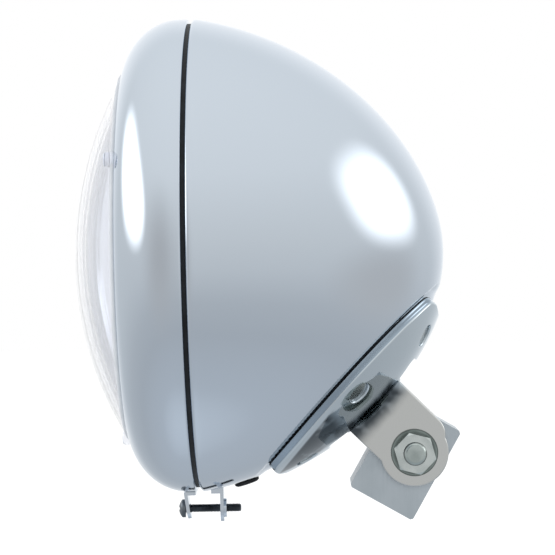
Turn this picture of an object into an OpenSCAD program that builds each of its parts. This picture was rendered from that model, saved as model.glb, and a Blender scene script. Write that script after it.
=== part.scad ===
// Round motorcycle headlight: chromed bowl housing and rim, domed glass, clamp screw under the
// seam and a two-armed bracket whose dished foot hugs the bowl. A block between the arms takes
// the stud of the motorcycle, and the lamp tilts on a bolt through that block.
// The lamp looks along -X with its axis level, and the origin is the mouth of the stud hole.

/* [Rim] */
// Outside diameter of rim and housing at the seam
lamp_d = 165; // [158:0.5:172]
// Distance from the seam forward to the front edge of the rim
rim_depth = 23.6; // [20:0.1:28]
// Distance from the seam forward to the widest line of the rim
rim_wide_at = 3.5; // [3:0.1:5]
// Height of the curved flank of the rim, measured in from its widest line
rim_flank = 22.9; // [19:0.1:26]
// Width of the rim seen from the front, from its outside in to the glass
rim_face_w = 17.3; // [15:0.1:19]
// Sheet thickness of rim and housing
sheet = 1; // [0.8:0.1:1.4]
// Radius of the turned rear edge of the rim
rim_edge_r = 1.1; // [0.9:0.1:2]
// Width of the flange turned in at the seam
seam_flange = 5; // [4:0.5:7]
// Width of the seam between rim and housing
seam_gap = 1.4; // [0.8:0.1:2.4]

/* [Housing] */
// Distance from the seam back to the crown of the housing
bucket_depth = 86.9; // [80:0.5:95]
// Distance that the bowl curve runs on ahead of the seam
bowl_shift = 15.5; // [10:0.5:20]
// Power of the bowl curve along the lamp axis
bowl_pow_x = 1.935; // [1.8:0.005:2.1]
// Power of the bowl curve across the lamp axis
bowl_pow_r = 1.795; // [1.7:0.005:2]
// Radius of the turned front edge of the housing
bucket_edge_r = 1.5; // [0.9:0.1:2]
// Depth of the seat pressed into the housing for the bracket
seat_depth = 0.8; // [0.3:0.1:1.2]
// Width of the seat that shows round the foot
seat_margin = 1.8; // [1.2:0.1:3]

/* [Glass and beam unit] */
// Height of the glass dome from its edge to its crown
dome_rise = 18.2; // [12:0.1:22]
// Distance that the dome's edge stands ahead of the rim
dome_proud = 0.5; // [0.2:0.1:1.5]
// Thickness of the glass
glass = 3.5; // [2.5:0.1:5]
// Width of the step of the glass behind the rim
glass_step_w = 2.1; // [1.5:0.1:2.8]
// Distance from the front edge of the rim back to that step
glass_step_in = 2.6; // [2.2:0.1:3.5]
// Thickness of the rubber ring round the step
lens_gasket_t = 3.4; // [2.4:0.1:4.4]
// Diameter of the three aiming pads on the glass
pad_d = 5.2; // [4:0.1:7]
// Height of the aiming pads
pad_h = 2.2; // [1:0.1:3]
// Depth of the reflector bowl
reflector_depth = 45; // [38:1:50]
// Diameter of the bulb opening in the reflector
bulb_hole_d = 28; // [24:1:34]
// Width of the flat seat at the back of the glass and of the reflector's edge
edge_seat = 5; // [4:0.5:7]

/* [Bulb and boot] */
// Diameter of the bulb glass
bulb_d = 16; // [12:0.5:18]
// Length of the bulb ahead of its flange
bulb_l = 46; // [36:1:50]
// Length of the metal barrel ahead of the flange
bulb_barrel_l = 12; // [8:1:16]
// Width of the bulb flange outside the opening
bulb_flange_w = 6; // [4:0.5:8]
// Thickness of the bulb flange
bulb_flange_t = 1.4; // [1:0.1:2]
// Length of the plug on the back of the bulb
plug_l = 14; // [10:1:18]
// Width of the plug
plug_w = 20; // [17:0.5:22]
// Height of the plug
plug_h = 17; // [14:0.5:19]
// Diameter of the wire entries of the plug
plug_entry_d = 3.4; // [2.5:0.1:4]
// Diameter of the wire of the bulb clip
clip_wire = 1.4; // [1:0.1:1.8]
// Radius of the rubber boot at the reflector
boot_r = 28; // [26:0.5:32]
// Radius of the opening of the boot round the wires
boot_neck_r = 11.5; // [8:0.5:13]
// Distance from the bulb flange to the back of the boot
boot_l = 23; // [22.5:0.5:26]
// Wall of the boot
boot_wall = 2; // [1.4:0.1:2.6]

/* [Seam clamp] */
// Distance from the outside of the rim down to the clamp screw
clamp_below = 6.1; // [5:0.1:8]
// Distance from the seam forward to the middle of the front ear at its root
front_ear_at = 5; // [4:0.1:6]
// Angle that the front ear leans back towards the seam
front_ear_lean = 7.7; // [0:0.1:9]
// Distance from the seam back to the front face of the rear ear
rear_ear_at = 7.1; // [6:0.1:9]
// Distance that the front ear reaches below the screw
front_ear_below = 3.6; // [3:0.1:5]
// Distance that the rear ear reaches below the screw
rear_ear_below = 4.7; // [3.5:0.1:5.5]
// Length of the ears' welded feet
ear_foot_l = 3.6; // [3:0.1:4]
// Width of both ears
ear_w = 10; // [8:0.5:14]
// Thickness of both ears
ear_t = 1.2; // [1:0.1:1.6]
// Thickness of the pressed nut in the rear ear
ear_nut_t = 0.9; // [0.6:0.1:1.5]
// Diameter of the clamp screw
clamp_screw_d = 3; // [2.5:0.1:4]
// Length of the clamp screw under its head
clamp_screw_l = 19.5; // [17:0.5:24]
// Diameter of the clamp screw head
clamp_head_d = 6.4; // [5.5:0.1:8]

/* [Wire outlet] */
// Distance from the seam back to the wire outlet
outlet_at = 16.3; // [14:0.5:20]
// Diameter of the wire outlet
outlet_d = 5; // [4:0.5:6]

/* [Bracket] */
// Angle of the bracket below the lamp axis
bracket_angle = 45; // [43:0.5:47]
// How far the foot reaches down from the line through the seam centre, as a share of the lamp
foot_low_share = 0.206; // [0.194:0.002:0.218]
// Diameter of the foot at the housing
foot_d = 87; // [82:0.2:92]
// Length of the foot between its two straight ends
foot_l = 79.8; // [76:0.2:84]
// Thickness of the foot
foot_t = 3.2; // [2.4:0.1:3.8]
// Thickness of the gasket under the foot
gasket_t = 0.4; // [0.3:0.1:1]
// Width of the foot's two bridges above and below the opening between the arms
bridge_w = 18.7; // [16:0.1:20]
// Width of that opening past the arms
window_w = 33; // [30:0.2:38]
// Radius of its corners
window_corner_r = 3.5; // [1:0.1:6]
// Gap between the two arms
arm_gap = 25.2; // [24:0.1:28]
// Thickness of the arms
arm_t = 3.4; // [2.6:0.1:4]
// Width of the arms above the pivot line
arm_up = 13.9; // [12.5:0.1:15.5]
// Width of the arms below the pivot line at the neck
arm_down = 10.1; // [8.5:0.1:11]
// Radius of the round ends of the arms
arm_end_r = 11.8; // [11:0.1:13]
// Radius of the fillet between arm and foot
root_fillet = 4; // [2:0.1:5]
// Diameter of the six holes in the foot
foot_hole_d = 8; // [7:0.1:9]
// Distance of the four corner holes from the straight ends of the foot
corner_hole_in = 11.4; // [10:0.1:13]
// Place of the corner holes across the foot, as a share of the foot's diameter
corner_hole_share = 0.19; // [0.165:0.005:0.22]
// Distance of the two side holes from the round sides of the foot
side_hole_in = 6.9; // [6:0.1:9]
// Depth that the screw ends lie below the face of the foot
screw_recess = 1; // [0.4:0.1:1.6]

/* [Pivot] */
// Height of the pivot over the housing, out along the bracket
pivot_out = 21.46; // [20:0.01:25]
// Distance of the pivot below the middle of the foot
pivot_shift = 2; // [0:0.1:4]
// Diameter of the pivot bolt
bolt_d = 8; // [6:0.1:10]
// Diameter of the washers
washer_d = 16.2; // [14.5:0.1:20]
// Thickness of the washers
washer_t = 1.6; // [1:0.1:2.5]
// Width across the flats of bolt head and nut
hex_af = 12.8; // [12:0.1:15]
// Height of the nut
nut_h = 6.2; // [5:0.1:8]
// Height of the bolt head
head_h = 5.3; // [4:0.1:7]
// Length of the bolt that stands out of the nut
bolt_proud = 2; // [1:0.1:6]

/* [Mount block] */
// Length of the block along its stud
block_l = 35; // [32:0.1:36]
// Width of the block as seen from the side
block_w = 24.7; // [23:0.1:26]
// Distance of the pivot from the foot of the block
block_pivot_up = 21.2; // [20:0.1:22]
// Distance of the pivot from the rear face of the block
block_pivot_in = 11; // [10:0.1:13]
// Angle that the block leans back
block_rake = 30; // [27:0.5:31]
// Diameter of the tapped stud hole, as drilled
stud_hole_d = 8.5; // [6.8:0.1:10.5]
// Depth of the stud hole
stud_hole_depth = 14; // [10:0.5:14.5]
// Width of the chamfers on the block
block_chamfer = 0.8; // [0.5:0.1:1.5]

/* [Clearances] */
// Gap between the block and each arm
side_clear = 0.3; // [0.1:0.05:0.5]
// Radial gap round the pivot bolt in the block
pivot_clear = 0.06; // [0.03:0.01:0.1]
// Radial gap round screws and bolts in fixed pieces
hole_clear = 0.1; // [0.05:0.05:0.3]
// Gap between the glass and the rim
glass_clear = 0.3; // [0.2:0.05:0.5]

/* [Hidden] */

chrome = "#B8C2CC";
zinc = "#8E9496";
rubber = "#20262B";
aluminium = "#C9CDCE";

$fn = 96;
bowl_steps = 30;
arc_steps = 14;
big = 300;

rim_r = lamp_d / 2;
opening_r = rim_r - rim_face_w;
clamp_drop = rim_r + clamp_below;
window_l = foot_l - 2 * bridge_w;
foot_shift = foot_l / 2 - foot_low_share * lamp_d;
corner_hole_u = foot_l / 2 - corner_hole_in;
corner_hole_y = foot_d * corner_hole_share;
side_hole_y = foot_d / 2 - side_hole_in;
seam_half = seam_gap / 2;
bowl_l = bucket_depth + bowl_shift;
bowl_rim_x = seam_half + bucket_edge_r;
// Radius of the bowl curve at its widest, which lies ahead of the seam
bowl_r = rim_r
    / pow(1 - pow((bowl_rim_x + bowl_shift) / bowl_l, bowl_pow_x), 1 / bowl_pow_r);
bowl_rim_angle = acos(pow((bowl_rim_x + bowl_shift) / bowl_l, bowl_pow_x / 2));

gasket_at = -seat_depth;
foot_at = gasket_at + gasket_t;
foot_top = foot_at + foot_t;
plate_t = 2;
arm_in = arm_gap / 2;
arm_out = arm_in + arm_t;
block_t = arm_gap - 2 * side_clear;

// Middle of the circle that the foot's edges and holes are square to, along the bracket axis
hug_at = 6.4;
foot_edge_n = bowl_under(0, foot_d / 2);
// Height along the bracket axis of the foot's straight ends where they meet the housing
foot_end_n = bowl_under(foot_l / 2, 0) / 2 + bowl_under(-foot_l / 2, 0) / 2 + foot_at + 0.6;

// Pivot and stud mouth in the lamp's own frame, whose origin is the middle of the seam
pivot_t = foot_shift - pivot_shift;
pivot_reach = bowl_under(0, 0) + pivot_out;
pivot = [pivot_reach * cos(bracket_angle) + pivot_t * sin(bracket_angle), 0,
    pivot_t * cos(bracket_angle) - pivot_reach * sin(bracket_angle)];
block_mid = block_pivot_in - block_w / 2;
stud_mouth = pivot + [block_mid * cos(block_rake) - block_pivot_up * sin(block_rake), 0,
    -block_mid * sin(block_rake) - block_pivot_up * cos(block_rake)];

// Point of the bowl curve at angle a, as [radius, distance behind the seam]
function bowl_pt(a) = [bowl_r * pow(sin(a), 2 / bowl_pow_r),
    bowl_l * pow(cos(a), 2 / bowl_pow_x) - bowl_shift];
// The same point moved out by off along the normal of the curve
function bowl_off(a, off) = a < 0.5
    ? [0, bucket_depth + off]
    : let (d = bowl_pt(a + 0.1) - bowl_pt(a - 0.1), p = bowl_pt(a))
        p + off * [-d.y, d.x] / norm(d);
function bowl_curve(off) = [for (i = [0:bowl_steps])
    bowl_off(bowl_rim_angle * i / bowl_steps, off)];
// Arc from angle a0 to a1 about a middle point
function arc(c, r, a0, a1, n) = [for (i = [0:n])
    c + r * [cos(a0 + (a1 - a0) * i / n), sin(a0 + (a1 - a0) * i / n)]];

// How far a point of the lamp frame lies inside (below 0) or outside the bowl
function bowl_side(p) = pow(max(p.x + bowl_shift, 0) / bowl_l, bowl_pow_x)
    + pow(norm([p.y, p.z]) / bowl_r, bowl_pow_r) - 1;
// Direction square to the bowl at a point on it
function bowl_normal(p) =
    let (r = norm([p.y, p.z]),
        gx = bowl_pow_x * pow((p.x + bowl_shift) / bowl_l, bowl_pow_x - 1) / bowl_l,
        gr = bowl_pow_r * pow(r / bowl_r, bowl_pow_r - 1) / bowl_r,
        g = [gx, gr * p.y / r, gr * p.z / r])
    g / norm(g);
// Point of the lamp frame from the foot's own frame: u down the foot, y across, n outward
function foot_point(u, y, n) = [
    n * cos(bracket_angle) + (foot_shift - u) * sin(bracket_angle), y,
    (foot_shift - u) * cos(bracket_angle) - n * sin(bracket_angle)];
// Height n at which the bowl lies under a place of the foot, found by halving
function bowl_under(u, y, lo = bowl_l * 0.3, hi = bowl_l * 1.3, k = 26) = k == 0
    ? (lo + hi) / 2
    : bowl_side(foot_point(u, y, (lo + hi) / 2)) < 0
        ? bowl_under(u, y, (lo + hi) / 2, hi, k - 1)
        : bowl_under(u, y, lo, (lo + hi) / 2, k - 1);

foot_holes = [[corner_hole_u, corner_hole_y], [corner_hole_u, -corner_hole_y],
    [-corner_hole_u, corner_hole_y], [-corner_hole_u, -corner_hole_y],
    [0, side_hole_y], [0, -side_hole_y]];

// Everything is drawn in the lamp frame and then moved to the stud mouth
module placed() {
    translate(-stud_mouth) children();
}

// Turns a profile of [radius, distance behind the seam] about the lamp axis
module turned() {
    rotate([0, 90, 0]) rotate_extrude() children();
}

// The foot's frame: x down the foot, z outward along the bracket
module foot_frame() {
    rotate([0, 90 + bracket_angle, 0]) translate([-foot_shift, 0, 0]) children();
}

// The block's frame, with the pivot as origin and z up the block
module block_frame() {
    translate(pivot) rotate([0, block_rake, 0]) children();
}

// Places children at a point with z along a direction
module along(p, d) {
    translate(p) rotate([0, acos(d.z / norm(d)), atan2(d.y, d.x)]) children();
}

// Places children on each hole of the foot, square to the bowl, with z = 0 on the bowl
module at_foot_holes() {
    for (h = foot_holes) {
        p = foot_point(h.x, h.y, bowl_under(h.x, h.y));
        along(p, bowl_normal(p)) children();
    }
}

// Solid bowl out to a given height over the housing's outer face
module bowl(off) {
    turned() polygon(concat([[0, bowl_rim_x]], [for (i = [bowl_steps:-1:0])
        bowl_curve(off)[i]]));
}

// Everything over the foot's outline grown by a margin: round sides square to the bowl and
// two straight ends, each with its outer corner taken off
module foot_plan(margin) {
    edge_slope = (foot_d / 2 + margin) / (foot_edge_n - hug_at);
    half = foot_l / 2 + margin / 2;
    top = 100;
    bevel = 2;
    foot_frame() intersection() {
        translate([0, 0, hug_at]) rotate_extrude()
            polygon([[0, 0], [top * edge_slope, top], [0, top]]);
        rotate([90, 0, 0]) translate([0, 0, -big / 2]) linear_extrude(big) polygon([
            [-half, 0], [half, 0], [half, foot_end_n], [half - bevel, foot_end_n + bevel],
            [half - bevel, top], [bevel - half, top], [bevel - half, foot_end_n + bevel],
            [-half, foot_end_n]]);
    }
}

// The opening between the arms, stepped in where each arm stands
module window_plan() {
    r = window_corner_r;
    foot_frame() translate([0, 0, 40]) linear_extrude(60) difference() {
        union() {
            square([window_l, window_w - 2 * r], center = true);
            square([window_l - 2 * r, window_w], center = true);
            for (x = [-1, 1], y = [-1, 1])
                translate([x * (window_l / 2 - r), y * (window_w / 2 - r)]) circle(r = r);
        }
        for (s = [-1, 1])
            translate([pivot_shift - arm_up - 1, s > 0 ? arm_in : -arm_in - window_w])
                square([arm_up + arm_down + 2, window_w]);
    }
}

module foot_layer(low, high) {
    difference() {
        intersection() {
            bowl(high);
            foot_plan(0);
        }
        bowl(low);
        window_plan();
    }
}

// Outline of one arm as u down the foot and n outward, pivot at its own place
module arm_outline() {
    corner = 7;
    translate([pivot_shift, pivot_reach]) difference() {
        union() {
            circle(r = arm_end_r);
            translate([-arm_up, -40]) square([arm_up + arm_down, 40 - 3.5]);
            translate([-arm_up + corner, -1.5]) circle(r = corner);
            translate([-arm_up, -5]) square([corner, 3.5]);
            translate([-arm_up + corner, -5]) square([arm_down + arm_up - corner - 1, 8]);
        }
        // Hollow that leads from the neck to the round end
        translate([arm_down + 6, -9.6]) circle(r = 6);
    }
}

module arms() {
    difference() {
        foot_frame() {
            for (s = [-1, 1]) {
                translate([0, s > 0 ? arm_out : -arm_in, 0]) rotate([90, 0, 0])
                    linear_extrude(arm_t) arm_outline();
            }
        }
        bowl(foot_at);
        pivot_hole(bolt_d / 2 + hole_clear);
    }
}

// Hollow fillets that run from the outer face of each arm into the foot
module root_fillets() {
    top = bowl_under(0, arm_out + root_fillet / 2) + foot_top;
    difference() {
        foot_frame() for (s = [-1, 1]) mirror([0, s > 0 ? 0 : 1, 0])
            translate([pivot_shift - arm_up, 0, 0]) rotate([90, 0, 90])
                linear_extrude(arm_up + arm_down) difference() {
                    translate([arm_out - 0.5, top - 5]) square([root_fillet + 0.5, root_fillet + 5]);
                    translate([arm_out + root_fillet, top + root_fillet]) circle(r = root_fillet);
                }
        bowl(foot_at);
    }
}

module pivot_hole(r) {
    translate([pivot.x, -big / 2, pivot.z]) rotate([-90, 0, 0]) cylinder(r = r, h = big);
}

// Profile of a sheet edge turned in at the seam: outer arc, flange end, inner arc
function turned_edge(r, edge_r, x, s) =
    let (mid = [r - edge_r, x + s * edge_r], in_r = max(edge_r - sheet, 0.05))
    concat(arc(mid, edge_r, 0, -s * 90, 5),
        [[r - seam_flange, x], [r - seam_flange, x + s * (edge_r - in_r)]],
        arc(mid, in_r, -s * 90, 0, 3));

module bucket() {
    color(chrome) placed() difference() {
        union() {
            turned() polygon(concat(bowl_curve(0),
                turned_edge(rim_r, bucket_edge_r, seam_half, 1),
                [for (i = [bowl_steps:-1:0]) bowl_curve(-sheet)[i]]));
            // The seat as it stands out on the inside
            difference() {
                intersection() {
                    bowl(-sheet / 2);
                    foot_plan(seat_margin + sheet);
                }
                bowl(-sheet - seat_depth);
            }
        }
        difference() {
            foot_plan(seat_margin);
            bowl(-seat_depth);
        }
        at_foot_holes() translate([0, 0, -10]) cylinder(d = foot_hole_d, h = 20);
        outlet() translate([0, 0, -10]) cylinder(d = outlet_d + 2 * grommet_wall, h = 20);
    }
}

// Curved flank of the rim as an ellipse, moved in along its normal by a wall
rim_len = rim_depth - rim_wide_at + 0.4;
rim_front_angle = asin((opening_r - rim_r + rim_flank) / rim_flank);
function rim_pt(a, in) =
    let (n = [sin(a) / rim_flank, -cos(a) / rim_len])
    [rim_r - rim_flank + rim_flank * sin(a), -rim_wide_at - rim_len * cos(a)] - in * n / norm(n);
function rim_curve(in) = [for (i = [0:arc_steps])
    rim_pt(rim_front_angle + (90 - rim_front_angle) * i / arc_steps, in)];

module bezel() {
    outer = rim_curve(0);
    inner = rim_curve(sheet);
    front_mid = (outer[0] + inner[0]) / 2;
    nose = arc(front_mid, sheet / 2, rim_front_angle + 90, rim_front_angle + 270, 6);
    color(chrome) placed() turned() polygon(concat(
        outer,
        turned_edge(rim_r, rim_edge_r, -seam_half, -1),
        [for (i = [arc_steps:-1:0]) inner[i]],
        [for (i = [1:5]) nose[i]]));
}

glass_r = opening_r - sheet * 0.6 - glass_clear;
dome_r = (pow(glass_r, 2) + pow(dome_rise, 2)) / (2 * dome_rise);
crown_at = rim_depth + dome_proud + dome_rise;
lens_mid_x = dome_r - crown_at;
glass_step_x = glass_step_in - rim_depth;
glass_back_x = glass_step_x + glass;
step_r = opening_r + glass_step_w;
function dome_angle(r, rad) = asin(r / rad);
function dome_x(r) = lens_mid_x - sqrt(pow(dome_r, 2) - pow(r, 2));

module lens() {
    inner_r = dome_r - glass;
    rim_a = dome_angle(glass_r - 1, dome_r);
    in_a = dome_angle(glass_r - edge_seat, inner_r);
    color("#EEF1F5", 0.6) placed() {
        turned() polygon(concat(
            [for (i = [0:arc_steps]) let (a = rim_a * i / arc_steps)
                [dome_r * sin(a), lens_mid_x - dome_r * cos(a)]],
            [[glass_r, dome_x(glass_r) + 0.8], [glass_r, glass_step_x],
                [step_r, glass_step_x], [step_r, glass_back_x],
                [glass_r - edge_seat, glass_back_x]],
            [for (i = [arc_steps:-1:0]) let (a = in_a * i / arc_steps)
                [inner_r * sin(a), lens_mid_x - inner_r * cos(a)]]));
        for (k = [0:2]) rotate([k * 120, 0, 0])
            translate([dome_x(glass_r - 1) - pad_h, 0, -glass_r + 1]) rotate([0, 90, 0]) {
                translate([0, 0, 0.8]) cylinder(d = pad_d, h = pad_h - 1.1);
                cylinder(d1 = pad_d - 1.6, d2 = pad_d, h = 0.8);
                translate([-1, 0, 0.8]) cylinder(d = pad_d - 1.6, h = pad_h + 1);
            }
    }
}

// Parabola of the reflector as [radius, distance behind the seam]
reflector_wall = 1.6;
reflector_front_r = step_r - edge_seat / 2;
reflector_k = (pow(reflector_front_r, 2) - pow(bulb_hole_d / 2, 2)) / reflector_depth;
reflector_back = glass_back_x + reflector_depth;
function reflector_pt(r, off) = [r, reflector_back
    - (pow(r, 2) - pow(bulb_hole_d / 2, 2)) / reflector_k + off];
function reflector_curve(off) = [for (i = [0:arc_steps])
    reflector_pt(reflector_front_r + (bulb_hole_d / 2 - reflector_front_r) * i / arc_steps, off)];

module reflector() {
    edge_x = glass_back_x + reflector_wall;
    neck_r = bulb_hole_d / 2;
    color("#E4E8EA") placed() turned() polygon(concat(
        [[reflector_front_r + 0.6, edge_x], [step_r, edge_x],
            [step_r, glass_back_x]],
        reflector_curve(0),
        [[neck_r, bulb_flange_x], [neck_r + reflector_wall, bulb_flange_x]],
        [for (i = [arc_steps - 2:-1:0]) reflector_curve(reflector_wall * 1.3)[i]]));
}

bulb_flange_x = reflector_back + 5;
plug_x = bulb_flange_x + 6;

module bulb_glass() {
    r = bulb_d / 2;
    tip = bulb_flange_x - bulb_l;
    base = bulb_flange_x - bulb_barrel_l;
    color("#F4F4EE", 0.7) placed() turned() polygon(concat(
        [for (i = [0:6]) let (a = 15 * i) [r * sin(a), tip + r - r * cos(a)]],
        [[r, base], [0, base]]));
}

module bulb_base() {
    barrel_r = bulb_hole_d / 2 - 2;
    flange_r = bulb_hole_d / 2 + bulb_flange_w;
    base = bulb_flange_x - bulb_barrel_l;
    flange_back = bulb_flange_x + bulb_flange_t;
    color("#B9BCBC") placed() turned() polygon([[0, base], [barrel_r, base],
        [barrel_r, bulb_flange_x], [flange_r, bulb_flange_x], [flange_r, flange_back],
        [barrel_r + 1, flange_back], [barrel_r + 1, plug_x], [0, plug_x]]);
}

module bulb_connector() {
    entry_depth = 5;
    color(rubber) placed() translate([plug_x, 0, 0]) difference() {
        translate([0, -plug_w / 2, -plug_h / 2]) cube([plug_l, plug_w, plug_h]);
        // Three wire entries at the back
        for (k = [-1:1]) translate([plug_l - entry_depth, k * plug_w * 0.3, 0])
            rotate([0, 90, 0]) cylinder(d = plug_entry_d, h = entry_depth + 1);
    }
}

module bulb_clip() {
    ring_r = bulb_hole_d / 2 + 3;
    ring_x = bulb_flange_x + bulb_flange_t + clip_wire / 2;
    leg_y = 5;
    color(zinc) placed() {
        difference() {
            turned() translate([ring_r, ring_x]) circle(d = clip_wire, $fn = 24);
            translate([0, -leg_y, 0]) cube([60, 2 * leg_y, 40]);
        }
        // The two legs that hook on the reflector
        for (s = [-1, 1])
            translate([ring_x, s * leg_y, sqrt(pow(ring_r, 2) - pow(leg_y, 2))])
                cylinder(d = clip_wire, h = 7, $fn = 24);
    }
}

// Rubber cup from the back of the reflector over the bulb to the wires
module bulb_boot() {
    w = boot_wall;
    lip_x = reflector_pt(boot_r, reflector_wall * 1.3).y + 0.3;
    back_x = bulb_flange_x + boot_l;
    neck = boot_neck_r + w;
    color(rubber) placed() turned() polygon([
        [boot_r - w, lip_x + w / 2], [boot_r, lip_x + w / 4], [boot_r + 0.75 * w, lip_x + 1.5 * w],
        [boot_r, bulb_flange_x + 2 * w], [neck + 2.5 * w, back_x - 2 * w], [neck, back_x],
        [neck, back_x + 2 * w], [boot_neck_r, back_x + 2 * w], [boot_neck_r, back_x - w / 2],
        [boot_neck_r + 2.2 * w, back_x - 2.7 * w], [boot_r - 1.7 * w, bulb_flange_x + 1.5 * w]]);
}

module lens_gasket() {
    inner = step_r + 0.05;
    front = glass_step_x + 0.4;
    back = glass_back_x + reflector_wall;
    color(rubber) placed() turned() polygon([[inner, front],
        [inner + lens_gasket_t * 0.47, front],
        [inner + lens_gasket_t, front + lens_gasket_t * 0.6],
        [inner + lens_gasket_t, back], [inner, back]]);
}

module beam_clips() {
    // Sheet clips from the turned flange of the rim to the back of the reflector's edge
    back = glass_back_x + reflector_wall;
    reach = -seam_half - sheet - back;
    clip_w = 12;
    clip_t = 1;
    foot_in = step_r - 1.7;
    leg_r = step_r + 6.1;
    hook_r = rim_r - seam_flange + 2.4;
    color(zinc) placed() for (k = [0:3]) rotate([45 + 90 * k, 0, 0])
        translate([back, -clip_w / 2, 0]) {
            translate([0, 0, foot_in]) cube([clip_t, clip_w, leg_r - foot_in]);
            translate([0, 0, leg_r]) cube([reach, clip_w, clip_t]);
            translate([reach - clip_t, 0, leg_r]) cube([clip_t, clip_w, hook_r - leg_r]);
        }
}

module seam_seal() {
    color(rubber) placed() turned() translate([rim_r - seam_flange, -seam_half])
        square([seam_flange - max(rim_edge_r, bucket_edge_r), seam_gap]);
}

// An ear with a rounded lower end, from a height above down past the screw axis at y = 0
module ear(rise, below) {
    translate([-ear_t / 2, 0, 0]) rotate([90, 0, 90]) linear_extrude(ear_t) {
        translate([-ear_w / 2, below - ear_w / 2]) square([ear_w, rise + ear_w / 2 - below]);
        translate([0, ear_w / 2 - below]) intersection() {
            circle(d = ear_w);
            translate([-ear_w / 2, -ear_w / 2]) square([ear_w, ear_w / 2]);
        }
    }
}

module bezel_tab() {
    weld_gap = 0.02;
    drop = clamp_drop - rim_r;
    // The leaning ear ends just short of the rim's widest line
    rise = (drop - weld_gap - ear_t / 2 * sin(front_ear_lean)) / cos(front_ear_lean);
    color(chrome) placed() difference() {
        union() {
            translate([-front_ear_at + drop * tan(front_ear_lean), 0, -clamp_drop])
                rotate([0, -front_ear_lean, 0]) ear(rise, front_ear_below);
            translate([-front_ear_at, -ear_w / 2, -rim_r - weld_gap - ear_t])
                cube([ear_foot_l, ear_w, ear_t]);
        }
        clamp_axis(clamp_screw_d / 2 + hole_clear);
    }
}

module clamp_axis(r) {
    translate([-big / 2, 0, -clamp_drop]) rotate([0, 90, 0]) cylinder(r = r, h = big);
}

module bucket_tab() {
    ear_rise = clamp_below + 5;
    color(chrome) placed() difference() {
        union() {
            translate([rear_ear_at + ear_t / 2, 0, -clamp_drop]) ear(ear_rise, rear_ear_below);
            translate([rear_ear_at + ear_t, 0, -clamp_drop]) rotate([0, 90, 0])
                cylinder(d = ear_w - 3.5, h = ear_nut_t);
            translate([rear_ear_at + 0.5 - ear_foot_l, -ear_w / 2, -rim_r - ear_t + 0.5])
                cube([ear_foot_l, ear_w, ear_t + 3]);
        }
        bowl(0.02, $fn = 360);
        translate([-10, 0, 0]) rotate([0, 90, 0])
            cylinder(r = rim_r - 1.5, h = 14, $fn = 360);
        clamp_axis(clamp_screw_d / 2 + hole_clear / 2);
    }
}

// Underside of the screw head, against the leaning front ear
clamp_head_x = -front_ear_at + (clamp_drop - rim_r - clamp_head_d / 2) * tan(front_ear_lean)
    - ear_t / 2 / cos(front_ear_lean) - 0.02;

module clamp_screw() {
    head_h = 2.4;
    color("#3A3E40") placed() translate([clamp_head_x, 0, -clamp_drop]) rotate([0, 90, 0]) {
        difference() {
            // Domed head: a ball cut off flat
            intersection() {
                translate([0, 0, 2.2]) sphere(r = 4.6);
                translate([0, 0, -head_h]) cylinder(d = clamp_head_d, h = head_h);
            }
            for (a = [0, 90]) rotate([0, 0, a]) translate([-1.7, -0.4, -head_h - 0.2])
                cube([3.4, 0.8, 1.5]);
        }
        cylinder(d = clamp_screw_d, h = clamp_screw_l - 1);
        translate([0, 0, clamp_screw_l - 1])
            cylinder(d1 = clamp_screw_d, d2 = clamp_screw_d - 1.4, h = 1);
    }
}

module mount_bracket() {
    color(chrome) placed() {
        difference() {
            union() {
                foot_layer(foot_at, foot_top);
                arms();
                root_fillets();
            }
            at_foot_holes() translate([0, 0, -10]) cylinder(d = foot_hole_d, h = 30);
        }
    }
}

module bracket_gasket() {
    color(rubber) placed() difference() {
        foot_layer(gasket_at, foot_at);
        at_foot_holes() translate([0, 0, -10]) cylinder(d = foot_hole_d, h = 30);
    }
}

module backing_plate() {
    color(zinc) placed() difference() {
        intersection() {
            bowl(-sheet - seat_depth);
            foot_plan(-4);
        }
        bowl(-sheet - seat_depth - plate_t);
        foot_frame() cylinder(d = window_w, h = 100);
        at_foot_holes() translate([0, 0, -20]) cylinder(d = foot_hole_d, h = 30);
    }
}

module bracket_screws() {
    // Domed heads inside the backing plate, plain ends short of the foot's face
    head_d = foot_hole_d + 5;
    head_h = 4.4;
    head_dome_r = 9;
    seat = -sheet - seat_depth - plate_t - 0.7;
    color(zinc) placed() at_foot_holes() {
        translate([0, 0, seat]) cylinder(d = foot_hole_d - 2 * hole_clear,
            h = foot_top - screw_recess - seat);
        translate([0, 0, seat - head_h]) intersection() {
            cylinder(d = head_d, h = head_h);
            translate([0, 0, head_dome_r]) sphere(r = head_dome_r);
        }
    }
}

grommet_wall = 1.1;
grommet_lip = 0.9;

// Places children where the wires leave, square to the housing
module outlet() {
    a = outlet_angle(0, bowl_rim_angle);
    p = [bowl_pt(a).y, 0, -bowl_pt(a).x];
    along(p, bowl_normal(p)) children();
}
// Angle of the bowl curve that lies at the outlet's distance, found by halving
function outlet_angle(lo, hi, k = 24) = k == 0
    ? (lo + hi) / 2
    : bowl_pt((lo + hi) / 2).y > outlet_at
        ? outlet_angle((lo + hi) / 2, hi, k - 1)
        : outlet_angle(lo, (lo + hi) / 2, k - 1);

module wire_grommet() {
    r0 = outlet_d / 2;
    r1 = r0 + grommet_wall;
    color(rubber) placed() outlet() rotate_extrude() polygon([
        [r0, -sheet - 1.4], [r1 + grommet_lip, -sheet - 1.4], [r1 + grommet_lip, -sheet - 0.2],
        [r1 - 0.05, -sheet - 0.2], [r1 - 0.05, 0.15], [r1 + grommet_lip, 0.15],
        [r1 + grommet_lip - 0.2, 0.9], [r1, 1.3], [r0, 1.3]]);
}

module hex(af, h) {
    cylinder(d = af / cos(30), h = h, $fn = 6);
}

nut_at = arm_out + washer_t;
bolt_r = bolt_d / 2;

// Places children on the pivot with z towards -Y, so the nut's side is +z
module pivot_frame() {
    translate(pivot) rotate([90, 15, 0]) children();
}

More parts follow.
